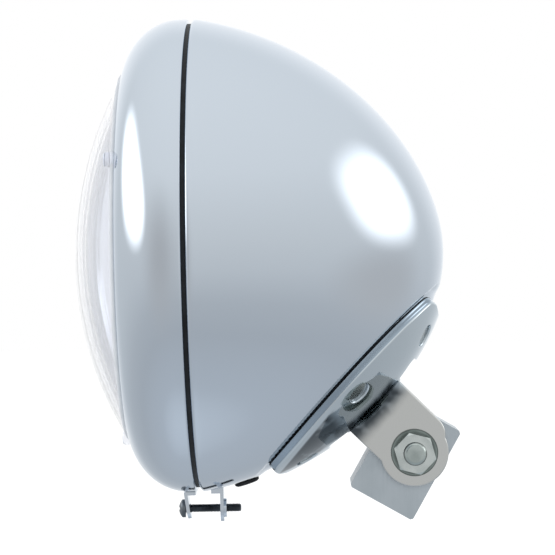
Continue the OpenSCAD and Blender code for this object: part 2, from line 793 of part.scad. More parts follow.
// Hexagon with its corners turned off at both ends or one
module turned_hex(h, both) {
    r = hex_af / 2;
    chamfer = 0.9;
    intersection() {
        hex(hex_af, h);
        rotate_extrude() polygon([[0, 0], [both ? r + 0.2 : r + 3, 0], [r + 3, both ? 1.6 : 0],
            [r + 3, h - 1.6], [r + 0.2, h], [0, h]]);
    }
}

module pivot_bolt() {
    length = nut_at + nut_h + bolt_proud;
    color("#A9AEB0") placed() pivot_frame() {
        translate([0, 0, -nut_at]) cylinder(r = bolt_r, h = nut_at + length - 0.8);
        translate([0, 0, length - 0.8]) cylinder(r1 = bolt_r, r2 = bolt_r - 0.8, h = 0.8);
        translate([0, 0, -nut_at]) mirror([0, 0, 1]) turned_hex(head_h, false);
    }
}

module pivot_washers() {
    color("#B4B8BA") placed() pivot_frame() for (s = [0, 1]) mirror([0, 0, s])
        translate([0, 0, arm_out]) difference() {
            cylinder(d = washer_d, h = washer_t);
            translate([0, 0, -1]) cylinder(r = bolt_r + hole_clear, h = washer_t + 2);
        }
}

module pivot_nut() {
    color("#A9AEB0") placed() pivot_frame() translate([0, 0, nut_at]) difference() {
        turned_hex(nut_h, true);
        translate([0, 0, -1]) cylinder(r = bolt_r + 0.02, h = nut_h + 2);
    }
}

module mount_block() {
    low = -block_pivot_up;
    rear = block_pivot_in;
    c = block_chamfer;
    color(aluminium) placed() block_frame() difference() {
        // Bar of the block along y with chamfered long edges
        translate([0, block_t / 2, 0]) rotate([90, 0, 0]) linear_extrude(block_t) polygon([
            [rear - c, low], [rear, low + c], [rear, low + block_l - c],
            [rear - c, low + block_l], [rear - block_w + c, low + block_l],
            [rear - block_w, low + block_l - c], [rear - block_w, low + c],
            [rear - block_w + c, low]]);
        translate([0, -big / 2, 0]) rotate([-90, 0, 0])
            cylinder(r = bolt_r + pivot_clear, h = big);
        translate([block_mid, 0, low - 1]) cylinder(d = stud_hole_d, h = stud_hole_depth + 1);
    }
}

bucket();
bezel();
lens();
reflector();
bulb_glass();
bulb_base();
bulb_connector();
bulb_clip();
bulb_boot();
lens_gasket();
beam_clips();
seam_seal();
bezel_tab();
bucket_tab();
clamp_screw();
mount_bracket();
bracket_gasket();
backing_plate();
bracket_screws();
wire_grommet();
pivot_bolt();
pivot_washers();
pivot_nut();
mount_block();
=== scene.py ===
import bpy
import numpy as np
from mathutils import Matrix
from mathutils.geometry import delaunay_2d_cdt


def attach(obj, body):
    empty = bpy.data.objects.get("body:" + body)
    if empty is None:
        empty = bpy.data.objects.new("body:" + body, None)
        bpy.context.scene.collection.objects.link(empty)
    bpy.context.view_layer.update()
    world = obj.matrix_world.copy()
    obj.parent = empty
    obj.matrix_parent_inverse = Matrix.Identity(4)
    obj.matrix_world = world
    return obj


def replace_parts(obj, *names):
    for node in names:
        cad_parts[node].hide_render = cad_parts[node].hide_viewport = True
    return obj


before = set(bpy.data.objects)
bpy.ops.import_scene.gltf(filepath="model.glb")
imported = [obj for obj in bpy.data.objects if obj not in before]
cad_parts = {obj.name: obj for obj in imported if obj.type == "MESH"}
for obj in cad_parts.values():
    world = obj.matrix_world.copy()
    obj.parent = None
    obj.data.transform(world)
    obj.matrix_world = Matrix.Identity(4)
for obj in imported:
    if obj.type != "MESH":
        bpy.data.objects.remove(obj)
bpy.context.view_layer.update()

scene = bpy.context.scene
studMouth = np.array([62.98167, 0.0, -86.90597])  # the part's origin seen from the middle of the seam, in mm
pivotAt = (11.769, 17.685)  # x and z of the tilt axis, in mm


# meshes

def makePiece(name, points, faceSets, body="lamp", slot=None, inLampFrame=True, crease=None):
    # points in mm; faceSets is a list of (faces, corner normals or None), one row of a table to a face;
    # edges that turn by more than the crease angle are shaded sharp
    place = (points - studMouth if inLampFrame else points) / 1000
    mesh = bpy.data.meshes.new(name)
    loops = np.concatenate([faces.ravel() for faces, _ in faceSets])
    counts = np.concatenate([np.full(len(faces), faces.shape[1]) for faces, _ in faceSets])
    starts = np.concatenate([[0], np.cumsum(counts)[:-1]])
    mesh.vertices.add(len(place))
    mesh.vertices.foreach_set("co", place.ravel().astype(np.float32))
    mesh.loops.add(len(loops))
    mesh.loops.foreach_set("vertex_index", loops.astype(np.int32))
    mesh.polygons.add(len(counts))
    mesh.polygons.foreach_set("loop_start", starts.astype(np.int32))
    mesh.update(calc_edges=True)
    mesh.validate()
    mesh.shade_smooth()
    if crease:
        mesh.set_sharp_from_angle(angle=np.radians(crease))
    if all(normals is not None for _, normals in faceSets) and len(mesh.loops) == len(loops):
        corners = np.concatenate([normals.reshape(-1, 3) for _, normals in faceSets])
        corners /= np.linalg.norm(corners, axis=1, keepdims=True)
        mesh.normals_split_custom_set([tuple(c) for c in corners])
    piece = bpy.data.objects.new(name, mesh)
    scene.collection.objects.link(piece)
    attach(piece, body)
    return piece


def gridFaces(rows, columns, wrapRows=False, wrapColumns=False, start=0):
    # quads of a grid whose vertices run along the columns first; a wrapped side joins its last line to its first
    i = np.arange(rows if wrapRows else rows - 1)[:, None]
    j = np.arange(columns if wrapColumns else columns - 1)[None, :]
    a, b = i * columns + j, i * columns + (j + 1) % columns
    c, d = ((i + 1) % rows) * columns + (j + 1) % columns, ((i + 1) % rows) * columns + j
    return np.stack([np.broadcast_to(q, (i.size, j.size)).ravel() for q in (a, b, c, d)], 1) + start


def turnedSurface(profile, turns, closed):
    # profile rows are (radius, distance behind the seam), turned about the lamp axis at the angles in turns:
    # the point is (x, r sin t, -r cos t); a profile that starts or ends on the axis gets one pole there
    r, x = profile[:, 0], profile[:, 1]
    poleFirst, poleLast = r[0] < 1e-6, r[-1] < 1e-6
    body = slice(1 if poleFirst else 0, len(r) - 1 if poleLast else len(r))
    rb, xb = r[body, None], x[body, None]
    points = np.stack([np.broadcast_to(xb, (len(rb), len(turns))), rb * np.sin(turns), -rb * np.cos(turns)], 2)
    rows, columns = points.shape[:2]
    points = points.reshape(-1, 3)
    faces = [gridFaces(rows, columns, wrapRows=closed, wrapColumns=True)]
    j = np.arange(columns)
    for isPole, ring, at, flip in ((poleFirst, 0, 0, False), (poleLast, rows - 1, -1, True)):
        if isPole:
            points = np.vstack([points, [x[at], 0, 0]])
            tip = np.full(columns, len(points) - 1)
            here, after = ring * columns + j, ring * columns + (j + 1) % columns
            faces.append(np.stack([tip, after, here] if not flip else [tip, here, after], 1))
    return points, faces


def arcPoints(centre, radius, start, end, count):
    # count + 1 points of a circle's arc between two angles in degrees
    a = np.radians(np.linspace(start, end, count + 1))
    return np.stack([centre[0] + radius * np.cos(a), centre[1] + radius * np.sin(a)], 1)


def evenTurns(count):
    return np.linspace(0, 2 * np.pi, count, endpoint=False)


def turnedPiece(name, profile, count, closed=True, **more):
    points, faces = turnedSurface(np.array(profile, float), evenTurns(count), closed)
    return makePiece(name, points, [(f, None) for f in faces], **more)


# materials

def fromHex(code):
    # sRGB hex to linear
    c = np.array([int(code[i:i + 2], 16) for i in (1, 3, 5)]) / 255
    return (*np.where(c <= 0.04045, c / 12.92, ((c + 0.055) / 1.055) ** 2.4).tolist(), 1.0)


def addNode(tree, kind, settings=None, links=None, stops=None, **values):
    # settings are the node's own properties, values its input sockets (spaces as _, n3 is socket 3),
    # links maps a socket to a source, stops are the places and colours of a colour ramp
    node = tree.nodes.new(kind)
    for i, (at, colour) in enumerate(stops or []):
        element = node.color_ramp.elements[i] if i < 2 else node.color_ramp.elements.new(at)
        element.position, element.color = at, colour
    for key, value in (settings or {}).items():
        setattr(node, key, value)
    for key, value in values.items():
        socket = int(key[1:]) if key[0] == "n" and key[1:].isdigit() else key.replace("_", " ")
        node.inputs[socket].default_value = value
    for key, source in (links or {}).items():
        tree.links.new(source, node.inputs[key])
    return node


def newMaterial(name):
    material = bpy.data.materials.new(name)
    material.use_nodes = True
    tree = material.node_tree
    tree.nodes.clear()
    return material, tree, addNode(tree, "ShaderNodeTexCoord").outputs["Object"]


def finishMaterial(tree, links, **values):
    shader = addNode(tree, "ShaderNodeBsdfPrincipled", links=links, **values)
    addNode(tree, "ShaderNodeOutputMaterial", links={"Surface": shader.outputs[0]})


# polish and haze are the roughness of its bright and dull places; wave is the height of the pressing's waviness,
# waveSize its width and grain the width of a buffing mark, in mm
chrome = {"tint": "#C6CED7", "edge": "#F4F7FA", "polish": 0.075, "haze": 0.13,
          "wave": 0.6, "waveSize": 36.0, "grain": 0.35}
# the bracket's tones with painted dark reflections in its chrome, in mm; a fade is (what it reads, from, to, tone at
# from, tone at to)
toneAndPaintedReflection = {"tone": "#262C30", "foot": "#BFC8CE", "mottle": 9.0, "warp": 4.0, "middle": 22.8, "diagonal": 0.7071,
         "axis": (-11.91, 0, -20.38), "fades": {
             "armInside": ("side", 11.0, 13.5, 0.0, 1.0), "armOutside": ("side", 19.0, 23.5, 1.0, 0.0),
             "armAlong": ("along", 11.0, 16.0, 1.0, 0.0), "lobeDown": ("down", -17.0, -11.0, 0.0, 1.0),
             "lobeSide": ("side", 14.0, 17.5, 0.0, 1.0), "lobeReach": ("reach", 42.6, 44.0, 1.0, 0.0),
             "nearFoot": ("out", -23.0, -18.0, 1.0, 0.0), "cloudy": ("cloud", 0.36, 0.5, 0.55, 0.9),
             "onArm": ("out", -24.0, -19.0, 0.0, 1.0)}}
# widths in mm of the marks that each process leaves
marks = {"zincCloud": 6.0, "cutterLine": 0.4, "anodiseCloud": 12.0, "bloom": 5.0, "mattGrain": 0.3,
         "mouldRipple": 14.0, "orangePeel": 1.6}


def bracketColourWithPaintedReflections(tree, at, tint):
    # colour of the bracket: the foot's tone, then the arms' tint, then the dark tone of the painted reflection by
    # max(arm inside * arm outside * arm along, lobe down * lobe side * lobe reach) * near foot * cloudy
    mottle = addNode(tree, "ShaderNodeTexNoise", links={"Vector": at}, Scale=1000 / toneAndPaintedReflection["mottle"], Detail=2.0)
    warped = addNode(tree, "ShaderNodeVectorMath", {"operation": "MULTIPLY_ADD"},
                     {0: mottle.outputs["Color"], 2: at}, n1=(toneAndPaintedReflection["warp"] / 1000,) * 3)
    # mm out along the bracket, down the foot and across it
    slope = 1000 * toneAndPaintedReflection["diagonal"]
    out, down, across = (addNode(tree, "ShaderNodeVectorMath", {"operation": "DOT_PRODUCT"}, {0: warped.outputs[0]},
                                 n1=way).outputs["Value"]
                         for way in ((slope, 0, -slope), (-slope, 0, -slope), (0, 1000, 0)))
    middle = addNode(tree, "ShaderNodeMath", {"operation": "ADD"}, {0: down}, n1=toneAndPaintedReflection["middle"]).outputs[0]
    side, along = (addNode(tree, "ShaderNodeMath", {"operation": "ABSOLUTE"}, {0: place}).outputs[0]
                   for place in (across, middle))
    # distance from the foot's axis is the length of the cross product with its direction
    offset = addNode(tree, "ShaderNodeVectorMath", {"operation": "MULTIPLY_ADD"}, {0: at},
                     n1=(1000, 1000, 1000), n2=toneAndPaintedReflection["axis"])
    turned = addNode(tree, "ShaderNodeVectorMath", {"operation": "CROSS_PRODUCT"}, {0: offset.outputs[0]},
                     n1=(toneAndPaintedReflection["diagonal"], 0, -toneAndPaintedReflection["diagonal"]))
    reach = addNode(tree, "ShaderNodeVectorMath", {"operation": "LENGTH"}, {0: turned.outputs[0]}).outputs["Value"]
    places = {"side": side, "along": along, "down": down, "reach": reach, "out": out, "cloud": mottle.outputs["Fac"]}
    masks = {}
    for name, (place, low, high, first, last) in toneAndPaintedReflection["fades"].items():
        masks[name] = addNode(tree, "ShaderNodeMapRange", {"interpolation_type": "SMOOTHSTEP"},
                              {"Value": places[place]}, n1=low, n2=high, n3=first, n4=last).outputs[0]
    for name, kind, first, second in (
            ("atArm", "MULTIPLY", "armInside", "armOutside"), ("root", "MULTIPLY", "atArm", "armAlong"),
            ("beside", "MULTIPLY", "lobeDown", "lobeSide"), ("lobe", "MULTIPLY", "beside", "lobeReach"),
            ("either", "MAXIMUM", "root", "lobe"), ("below", "MULTIPLY", "nearFoot", "cloudy"),
            ("dark", "MULTIPLY", "either", "below")):
        masks[name] = addNode(tree, "ShaderNodeMath", {"operation": kind},
                              {0: masks[first], 1: masks[second]}).outputs[0]
    face = addNode(tree, "ShaderNodeMix", {"data_type": "RGBA"}, {0: masks["onArm"]},
                   n6=fromHex(toneAndPaintedReflection["foot"]), n7=fromHex(tint)).outputs[2]
    # the dark tone is painted reflection, laid over the face colour
    return addNode(tree, "ShaderNodeMix", {"data_type": "RGBA"}, {0: masks["dark"], 6: face},
                   n7=fromHex(toneAndPaintedReflection["tone"])).outputs[2]


def polishedChrome(name, tint, polish, haze, wave, paintReflections=False):
    # decorative chrome over buffed steel: a bluish mirror with faint buffing haze and a slow waviness from pressing;
    # the last flag paints into the colour the dark reflections that the bracket shows at its arms' roots and on its
    # lower lobe
    material, tree, at = newMaterial(name)
    cloud = addNode(tree, "ShaderNodeTexNoise", links={"Vector": at}, Scale=1000 / chrome["waveSize"], Detail=3.0)
    buff = addNode(tree, "ShaderNodeTexNoise", links={"Vector": at}, Scale=1000 / chrome["grain"], Detail=2.0)
    rough = addNode(tree, "ShaderNodeMapRange", links={"Value": cloud.outputs["Fac"]},
                    n1=0.35, n2=0.7, n3=polish, n4=haze)
    both = addNode(tree, "ShaderNodeMath", {"operation": "MULTIPLY_ADD"},
                   {0: buff.outputs["Fac"], 2: cloud.outputs["Fac"]}, n1=0.02)
    bump = addNode(tree, "ShaderNodeBump", links={"Height": both.outputs[0]}, Strength=0.06, Distance=wave / 1000)
    links = {"Roughness": rough.outputs[0], "Normal": bump.outputs[0]}
    if paintReflections:
        # painted dark reflections at the arms' roots and on the lower lobe, as colour
        links["Base Color"] = bracketColourWithPaintedReflections(tree, at, tint)
    finishMaterial(tree, links, Base_Color=fromHex(tint), Metallic=1.0, Specular_Tint=fromHex(chrome["edge"]))
    return material


# painted shade in the crevices round the pivot: tones at shares of the reach, over thread, corner of the nut and edge
# of the washer;
# the reach is in mm
creviceShadeReach = 10
pivotCreviceShade = [(0.0, 0.85), (0.34, 0.95), (0.4, 0.2), (0.46, 1.0), (0.56, 1.0), (0.63, 0.5), (0.7, 0.6), (0.76, 0.95),
              (0.8, 0.35), (0.83, 1.0)]


def platedSteel(name, tint, dark, rough, speckMm, ringMm=0):
    # bright zinc over steel: soft grey metal, a little cloudy, with the lathe's rings round the pivot if it was turned
    material, tree, at = newMaterial(name)
    cloud = addNode(tree, "ShaderNodeTexNoise", links={"Vector": at}, Scale=1000 / marks["zincCloud"], Detail=3.0)
    speck = addNode(tree, "ShaderNodeTexNoise", links={"Vector": at}, Scale=1000 / speckMm, Detail=3.0)
    height = speck.outputs["Fac"]
    if ringMm:
        offset = addNode(tree, "ShaderNodeVectorMath", {"operation": "MULTIPLY_ADD"}, {0: at},
                         n1=(1, 0, 1), n2=(-pivotAt[0] / 1000, 0, -pivotAt[1] / 1000))
        far = addNode(tree, "ShaderNodeVectorMath", {"operation": "LENGTH"}, {0: offset.outputs[0]})
        ring = addNode(tree, "ShaderNodeTexNoise", {"noise_dimensions": "1D"}, {"W": far.outputs["Value"]},
                       Scale=1000 / ringMm, Detail=2.0)
        height = addNode(tree, "ShaderNodeMath", {"operation": "MULTIPLY_ADD"}, {0: ring.outputs["Fac"], 2: height},
                         n1=4.0).outputs[0]
    colour = addNode(tree, "ShaderNodeValToRGB", links={0: cloud.outputs["Fac"]},
                     stops=[(0.35, fromHex(dark)), (0.6, fromHex(tint))]).outputs[0]
    roughness = addNode(tree, "ShaderNodeMapRange", links={"Value": cloud.outputs["Fac"]},
                        n1=0.3, n2=0.7, n3=rough + 0.06, n4=rough)
    bump = addNode(tree, "ShaderNodeBump", links={"Height": height}, Strength=0.1, Distance=0.00002)
    # painted shade: darker rings in the crevices round the pivot, over the thread, the nut's corner and the washer's
    # edge
    if ringMm:
        share = addNode(tree, "ShaderNodeMapRange", links={"Value": far.outputs["Value"]}, n1=0.0, n2=creviceShadeReach / 1000)
        creviceShade = addNode(tree, "ShaderNodeValToRGB", links={0: share.outputs[0]},
                        stops=[(s, (v, v * 1.02, v, 1)) for s, v in pivotCreviceShade])
        colour = addNode(tree, "ShaderNodeMix", {"data_type": "RGBA", "blend_type": "MULTIPLY"},
                         {6: colour, 7: creviceShade.outputs[0]}, n0=1.0).outputs[2]
    finishMaterial(tree, {"Base Color": colour, "Roughness": roughness.outputs[0], "Normal": bump.outputs[0]},
                   Metallic=1.0)
    return material


def milledAluminium(name):
    # milled and satin anodised aluminium: pale, with fine cutter lines along the block, which is raked by 30 degrees
    material, tree, at = newMaterial(name)
    turned = addNode(tree, "ShaderNodeMapping", links={"Vector": at},
                     Rotation=(0, np.radians(30), 0), Scale=(1, 1, 0.04))
    lines = addNode(tree, "ShaderNodeTexNoise", links={"Vector": turned.outputs[0]},
                    Scale=1000 / marks["cutterLine"], Detail=4.0)
    cloud = addNode(tree, "ShaderNodeTexNoise", links={"Vector": at}, Scale=1000 / marks["anodiseCloud"], Detail=3.0)
    colour = addNode(tree, "ShaderNodeValToRGB", links={0: cloud.outputs["Fac"]},
                     stops=[(0.3, fromHex("#B4BDC3")), (0.7, fromHex("#C0C8CE"))]).outputs[0]
    rough = addNode(tree, "ShaderNodeMapRange", links={"Value": lines.outputs["Fac"]}, n1=0.3, n2=0.7, n3=0.36, n4=0.5)
    bump = addNode(tree, "ShaderNodeBump", links={"Height": lines.outputs["Fac"]}, Strength=0.12, Distance=0.00004)
    finishMaterial(tree, {"Base Color": colour, "Roughness": rough.outputs[0], "Normal": bump.outputs[0]}, Metallic=1.0)
    return material


def mattSurface(name, tint, bloomTint):
    # moulded rubber, moulded nylon or ground glass: dull, in one tint that goes over to a second in patches
    material, tree, at = newMaterial(name)
    bloom = addNode(tree, "ShaderNodeTexNoise", links={"Vector": at}, Scale=1000 / marks["bloom"], Detail=5.0)
    grain = addNode(tree, "ShaderNodeTexNoise", links={"Vector": at}, Scale=1000 / marks["mattGrain"], Detail=2.0)
    colour = addNode(tree, "ShaderNodeValToRGB", links={0: bloom.outputs["Fac"]},
                     stops=[(0.35, fromHex(tint)), (0.75, fromHex(bloomTint))]).outputs[0]
    bump = addNode(tree, "ShaderNodeBump", links={"Height": grain.outputs["Fac"]}, Strength=0.12, Distance=0.00003)
    finishMaterial(tree, {"Base Color": colour, "Normal": bump.outputs[0]}, Roughness=0.55, Specular_IOR_Level=0.25)
    return material


def pressedGlass(name, tint, rough, ripple):
    # pressed glass: clear, with a faint ripple left by the mould; the IOR is set low, which keeps what is behind it
    # nearly undistorted, and the coat gives the shine of real glass
    material, tree, at = newMaterial(name)
    wave = addNode(tree, "ShaderNodeTexNoise", links={"Vector": at}, Scale=1000 / marks["mouldRipple"], Detail=1.0)
    bump = addNode(tree, "ShaderNodeBump", links={"Height": wave.outputs["Fac"]}, Strength=0.1, Distance=ripple / 1000)
    finishMaterial(tree, {"Normal": bump.outputs[0], "Coat Normal": bump.outputs[0]}, Base_Color=fromHex(tint),
                   Roughness=rough, IOR=1.15, Transmission_Weight=1.0,
                   Coat_Weight=1.0, Coat_Roughness=0.02, Coat_IOR=1.5)
    return material


def silveredBowl(name):
    # aluminium evaporated on lacquered steel: a white mirror with slight orange peel
    material, tree, at = newMaterial(name)
    peel = addNode(tree, "ShaderNodeTexNoise", links={"Vector": at}, Scale=1000 / marks["orangePeel"], Detail=2.0)
    bump = addNode(tree, "ShaderNodeBump", links={"Height": peel.outputs["Fac"]}, Strength=0.08, Distance=0.00005)
    finishMaterial(tree, {"Normal": bump.outputs[0]}, Base_Color=fromHex("#EDF0F3"), Metallic=1.0, Roughness=0.08)
    return material


chromeHousing, chromeRim = (polishedChrome(name, chrome["tint"], chrome["polish"], chrome["haze"], chrome["wave"])
                            for name in ("polishedChromeHousing", "polishedChromeRim"))
# the bracket's chrome carries painted dark reflections in its colour
chromeBracket = polishedChrome("polishedChromeBracket", "#C6C7C5", 0.05, 0.1, 0.4, paintReflections=True)
# the bolt and the washers carry the painted crevice shade round the pivot
zincSteel = platedSteel("zincPlatedTurnedSteel", "#BCC3C2", "#A9B1B0", 0.14, 0.6, 0.5)
washerSteel = platedSteel("zincPlatedWasherSteel", "#8F9896", "#7F8886", 0.2, 0.6, 0.4)
nutSteel = platedSteel("zincPlatedNutSteel", "#C9CFCD", "#B9C0BE", 0.12, 0.8)
brightSteel = platedSteel("brightZincPressedSteel", "#BDC2C4", "#AAB0B3", 0.22, 0.8)
blackSteel = platedSteel("blackOxideSteel", "#6E747A", "#4C5156", 0.32, 0.4)
aluminium = milledAluminium("satinMilledAluminium")
rubber = mattSurface("mouldedRubber", "#15181B", "#262B30")
plastic = mattSurface("mouldedNylonPlug", "#101214", "#262B30")
groundEdge = mattSurface("groundGlassEdge", "#DDE2E8", "#E9EDF2")
lensGlass = pressedGlass("pressedLensGlass", "#F5F7FC", 0.03, 0.03)
bulbGlass = pressedGlass("quartzBulbGlass", "#FCFCF8", 0.0, 0.01)
silver = silveredBowl("evaporatedAluminium")


def dress(piece, material):
    piece.data.materials.clear()
    piece.data.materials.append(material)


nodeFinish = {
    "seam_seal": rubber, "lens_gasket": rubber, "bracket_gasket": rubber, "bulb_boot": rubber, "wire_grommet": rubber,
    "bulb_connector": plastic, "bulb_base": brightSteel, "bulb_clip": brightSteel, "beam_clips": brightSteel,
    "backing_plate": brightSteel, "bracket_screws": brightSteel, "bezel_tab": chromeRim, "bucket_tab": chromeHousing,
    "mount_block": aluminium, "pivot_washers": washerSteel, "pivot_nut": nutSteel, "pivot_bolt": zincSteel,
    "clamp_screw": blackSteel, "mount_bracket": chromeBracket, "bucket": chromeHousing, "bezel": chromeRim,
    "lens": lensGlass, "reflector": silver, "bulb_glass": bulbGlass,
}
for node, material in nodeFinish.items():
    dress(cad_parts[node], material)
print("materials on the frame")


# housing

bowl = {"radius": 82.5, "depth": 86.9, "shift": 15.5, "powX": 1.935, "powR": 1.795, "lipStart": 2.2, "lipR": 1.5,
        "flange": 5.0, "sheet": 1.0, "tipR": 12.0, "coarseTo": 34, "fineTo": 76,
        "seatDepth": 0.8, "seatMargin": 3.2, "seatSlope": 1.9, "seatFrom": 6, "seatTurn": 72}
bowl["length"] = bowl["depth"] + bowl["shift"]
lipShare = (bowl["lipStart"] + bowl["shift"]) / bowl["length"]
bowl["wide"] = bowl["radius"] / (1 - lipShare ** bowl["powX"]) ** (1 / bowl["powR"])
outlet = {"at": 16.3, "holeR": 3.7}
foot = {"shift": 79.8 / 2 - 0.206 * 165, "halfLength": 39.9, "radius": 43.5, "hug": 6.4, "base": -0.4, "thick": 3.2,
        "edge": 0.55, "bevel": 2.0, "endY": 17.3, "hole": 4.0, "cornerU": 28.5, "cornerY": 16.53, "sideY": 36.6}
slant = np.sqrt(0.5)


def bowlRadius(x):
    # superellipse: the radius is wide * (1 - (distance / length)^powX)^(1 / powR)
    share = np.clip((x + bowl["shift"]) / bowl["length"], 0, 1)
    return bowl["wide"] * (1 - share ** bowl["powX"]) ** (1 / bowl["powR"])


def bowlDistance(r):
    # the same curve the other way round, with a round tip instead of a point at the crown
    far = lambda q: (bowl["length"] * (1 - (q / bowl["wide"]) ** bowl["powR"]) ** (1 / bowl["powX"])
                     - bowl["shift"])
    tip = bowl["tipR"]
    slope = (far(tip + 0.01) - far(tip - 0.01)) / 0.02
    return np.where(r < tip, far(tip) + slope * (r ** 2 - tip ** 2) / (2 * tip), far(np.maximum(r, tip)))


def bowlNormal(points):
    # gradient of (distance / length)^powX + (radius / wide)^powR
    x, r = points[..., 0] + bowl["shift"], np.maximum(np.hypot(points[..., 1], points[..., 2]), 1e-6)
    gx = bowl["powX"] * np.maximum(x / bowl["length"], 1e-6) ** (bowl["powX"] - 1) / bowl["length"]
    gr = bowl["powR"] * (r / bowl["wide"]) ** (bowl["powR"] - 1) / bowl["wide"]
    gr = np.where(r < bowl["tipR"], gr * (r / bowl["tipR"]) ** (2 - bowl["powR"]), gr)
    g = np.stack([gx, gr * points[..., 1] / r, gr * points[..., 2] / r], -1)
    return g / np.linalg.norm(g, axis=-1, keepdims=True)


def fromFoot(u, y, n):
    # foot frame to lamp frame: u down the foot, y across, n out along the bracket
    return np.stack([(n + foot["shift"] - u) * slant, y + 0 * n, (foot["shift"] - u - n) * slant], -1)


def toFoot(points):
    return np.stack([foot["shift"] - (points[..., 0] + points[..., 2]) * slant, points[..., 1],
                     (points[..., 0] - points[..., 2]) * slant], -1)


def bowlUnder(u, y):
    # height n of the housing under a place of the foot, by halving
    low, high = np.full(np.shape(u), 30.0), np.full(np.shape(u), 125.0)
    for _ in range(40):
        mid = (low + high) / 2
        p = fromFoot(u, y, mid)
        inside = np.hypot(p[..., 1], p[..., 2]) < bowlRadius(p[..., 0])
        low, high = np.where(inside, mid, low), np.where(inside, high, mid)
    return (low + high) / 2


def onFoot(uv, height):
    # the housing's point under (u, y), moved out by a height along the housing's normal
    p = fromFoot(uv[..., 0], uv[..., 1], bowlUnder(uv[..., 0], uv[..., 1]))
    normal = bowlNormal(p)
    return p + np.asarray(height)[..., None] * normal, normal


edgeSlope = foot["radius"] / (bowlUnder(np.array(0.0), np.array(foot["radius"])) - foot["hug"])


def footSide(points):
    # how far a point lies outside the foot's outline, negative inside: the larger of the distance from the cone and
    # half of that beyond the straight ends, for a gentler slope there
    f = toFoot(points)
    return np.maximum(np.hypot(f[..., 0], f[..., 1]) - edgeSlope * (f[..., 2] - foot["hug"]),
                      0.5 * (np.abs(f[..., 0]) - foot["halfLength"]))


def smoothStep(t):
    t = np.clip(t, 0, 1)
    return t * t * (3 - 2 * t)


def housingProfile():
    # crown to lip along the bowl curve, then the turned lip and the flange at the seam
    coarse, fine = bowl["coarseTo"], bowl["fineTo"]
    radii = np.concatenate([np.linspace(0, coarse, 44), np.linspace(coarse, fine, 76)[1:],
                            np.linspace(fine, bowl["radius"], 26)[1:]])
    curve = np.stack([radii, bowlDistance(radii)], 1)
    curve[-1] = [bowl["radius"], bowl["lipStart"]]
    lip = arcPoints((bowl["radius"] - bowl["lipR"], bowl["lipStart"]), bowl["lipR"], 0, -90, 6)[1:]
    flange = np.linspace(lip[-1], [bowl["radius"] - bowl["flange"], lip[-1][1]], 3)[1:]
    return np.concatenate([curve, lip, flange])


def buildHousing():
    # angles crowd towards the underside, where the bracket's seat is pressed in: the wall goes in along its normal by
    # seatDepth * smoothStep((seatMargin - distance outside the foot) / seatSlope)
    half = bowl["seatTurn"]
    turns = np.radians(np.concatenate([np.linspace(-half, half, 205), np.linspace(half, 360 - half, 97)[1:-1]]))
    points, faces = turnedSurface(housingProfile(), turns, closed=False)
    near = smoothStep((bowl["seatMargin"] - footSide(points)) / bowl["seatSlope"]) * (points[:, 0] > bowl["seatFrom"])
    points = points - bowlNormal(points) * (bowl["seatDepth"] * near)[:, None]
    outletAt = np.array([outlet["at"], 0, -bowlRadius(outlet["at"])])
    away = np.linalg.norm(points - outletAt, axis=1)
    quads, tip = (part[:, ::-1] for part in faces)
    cut = (away[quads] < outlet["holeR"]).any(1)
    edge = np.intersect1d(quads[cut], quads[~cut])
    points[edge] = outletAt + (points[edge] - outletAt) * (outlet["holeR"] / away[edge])[:, None]
    used = np.unique(np.concatenate([quads[~cut].ravel(), tip.ravel()]))
    renumber = np.zeros(len(points), int)
    renumber[used] = np.arange(len(used))
    piece = makePiece("housingShell", points[used], [(renumber[quads[~cut]], None), (renumber[tip], None)],
                      slot="chrome_housing")
    thicken = piece.modifiers.new("wall", "SOLIDIFY")
    thicken.thickness, thicken.offset = bowl["sheet"] / 1000, -1
    return piece


housing = buildHousing()
dress(housing, chromeHousing)
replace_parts(housing, "bucket")
print("housing shell with the seat and the wire hole")


# rim

# overrun is how far the flank's ellipse would go on past the rim's depth
rim = {"radius": 82.5, "depth": 23.6, "wideAt": 3.5, "flank": 22.9, "faceW": 18.05, "overrun": 0.4, "edgeR": 0.8,
       "flange": 5.0, "gap": 0.5, "sheet": 1.0}


def rimProfile():
    # an ellipse for the flank, a short cylinder and a turned edge behind it, and the same one wall further in
    length = rim["depth"] - rim["wideAt"] + rim["overrun"]
    first = np.degrees(np.arcsin((rim["flank"] - rim["faceW"]) / rim["flank"]))
    a = np.radians(first + (90 - first) * np.linspace(0, 1, 64))
    outer = np.stack([rim["radius"] - rim["flank"] * (1 - np.sin(a)), -rim["wideAt"] - length * np.cos(a)], 1)
    normal = np.stack([np.sin(a) / rim["flank"], -np.cos(a) / length], 1)
    inner = outer - rim["sheet"] * normal / np.linalg.norm(normal, axis=1, keepdims=True)
    nose = arcPoints((outer[0] + inner[0]) / 2, rim["sheet"] / 2, first - 90, first - 270, 8)[1:-1]
    middle = (rim["radius"] - rim["edgeR"], -rim["gap"] - rim["edgeR"])
    edge = arcPoints(middle, rim["edgeR"], 0, 90, 6)
    flangeR = rim["radius"] - rim["flange"]
    back = np.array([[flangeR, -rim["gap"]], [flangeR, -rim["gap"] - rim["sheet"]]])
    inside = np.array([[middle[0], -rim["gap"] - rim["sheet"]], [rim["radius"] - rim["sheet"], middle[1]]])
    return np.concatenate([outer, edge, back, inside, inner[::-2], nose[::-1]])


rimPiece = turnedPiece("rimShell", rimProfile(), 360, slot="chrome_rim")
dress(rimPiece, chromeRim)
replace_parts(rimPiece, "bezel")
print("rim")

# lens, reflector and bulb

lens = {"domeR": 122.7, "middle": 80.4, "glass": 3.5, "edgeR": 64.3, "round": 1.2, "roundAt": 1.15, "domeEnd": 1,
        "stepR": 67.3, "stepX": -21.0, "backX": -17.5, "seat": 5.0, "flute": 0.03, "pitch": 7.0, "ground": 0.6,
        "padR": 63.3, "padD": 5.2, "padH": 2.2, "padRound": 0.9, "padL": 3.4, "turns": 300, "rows": 70}


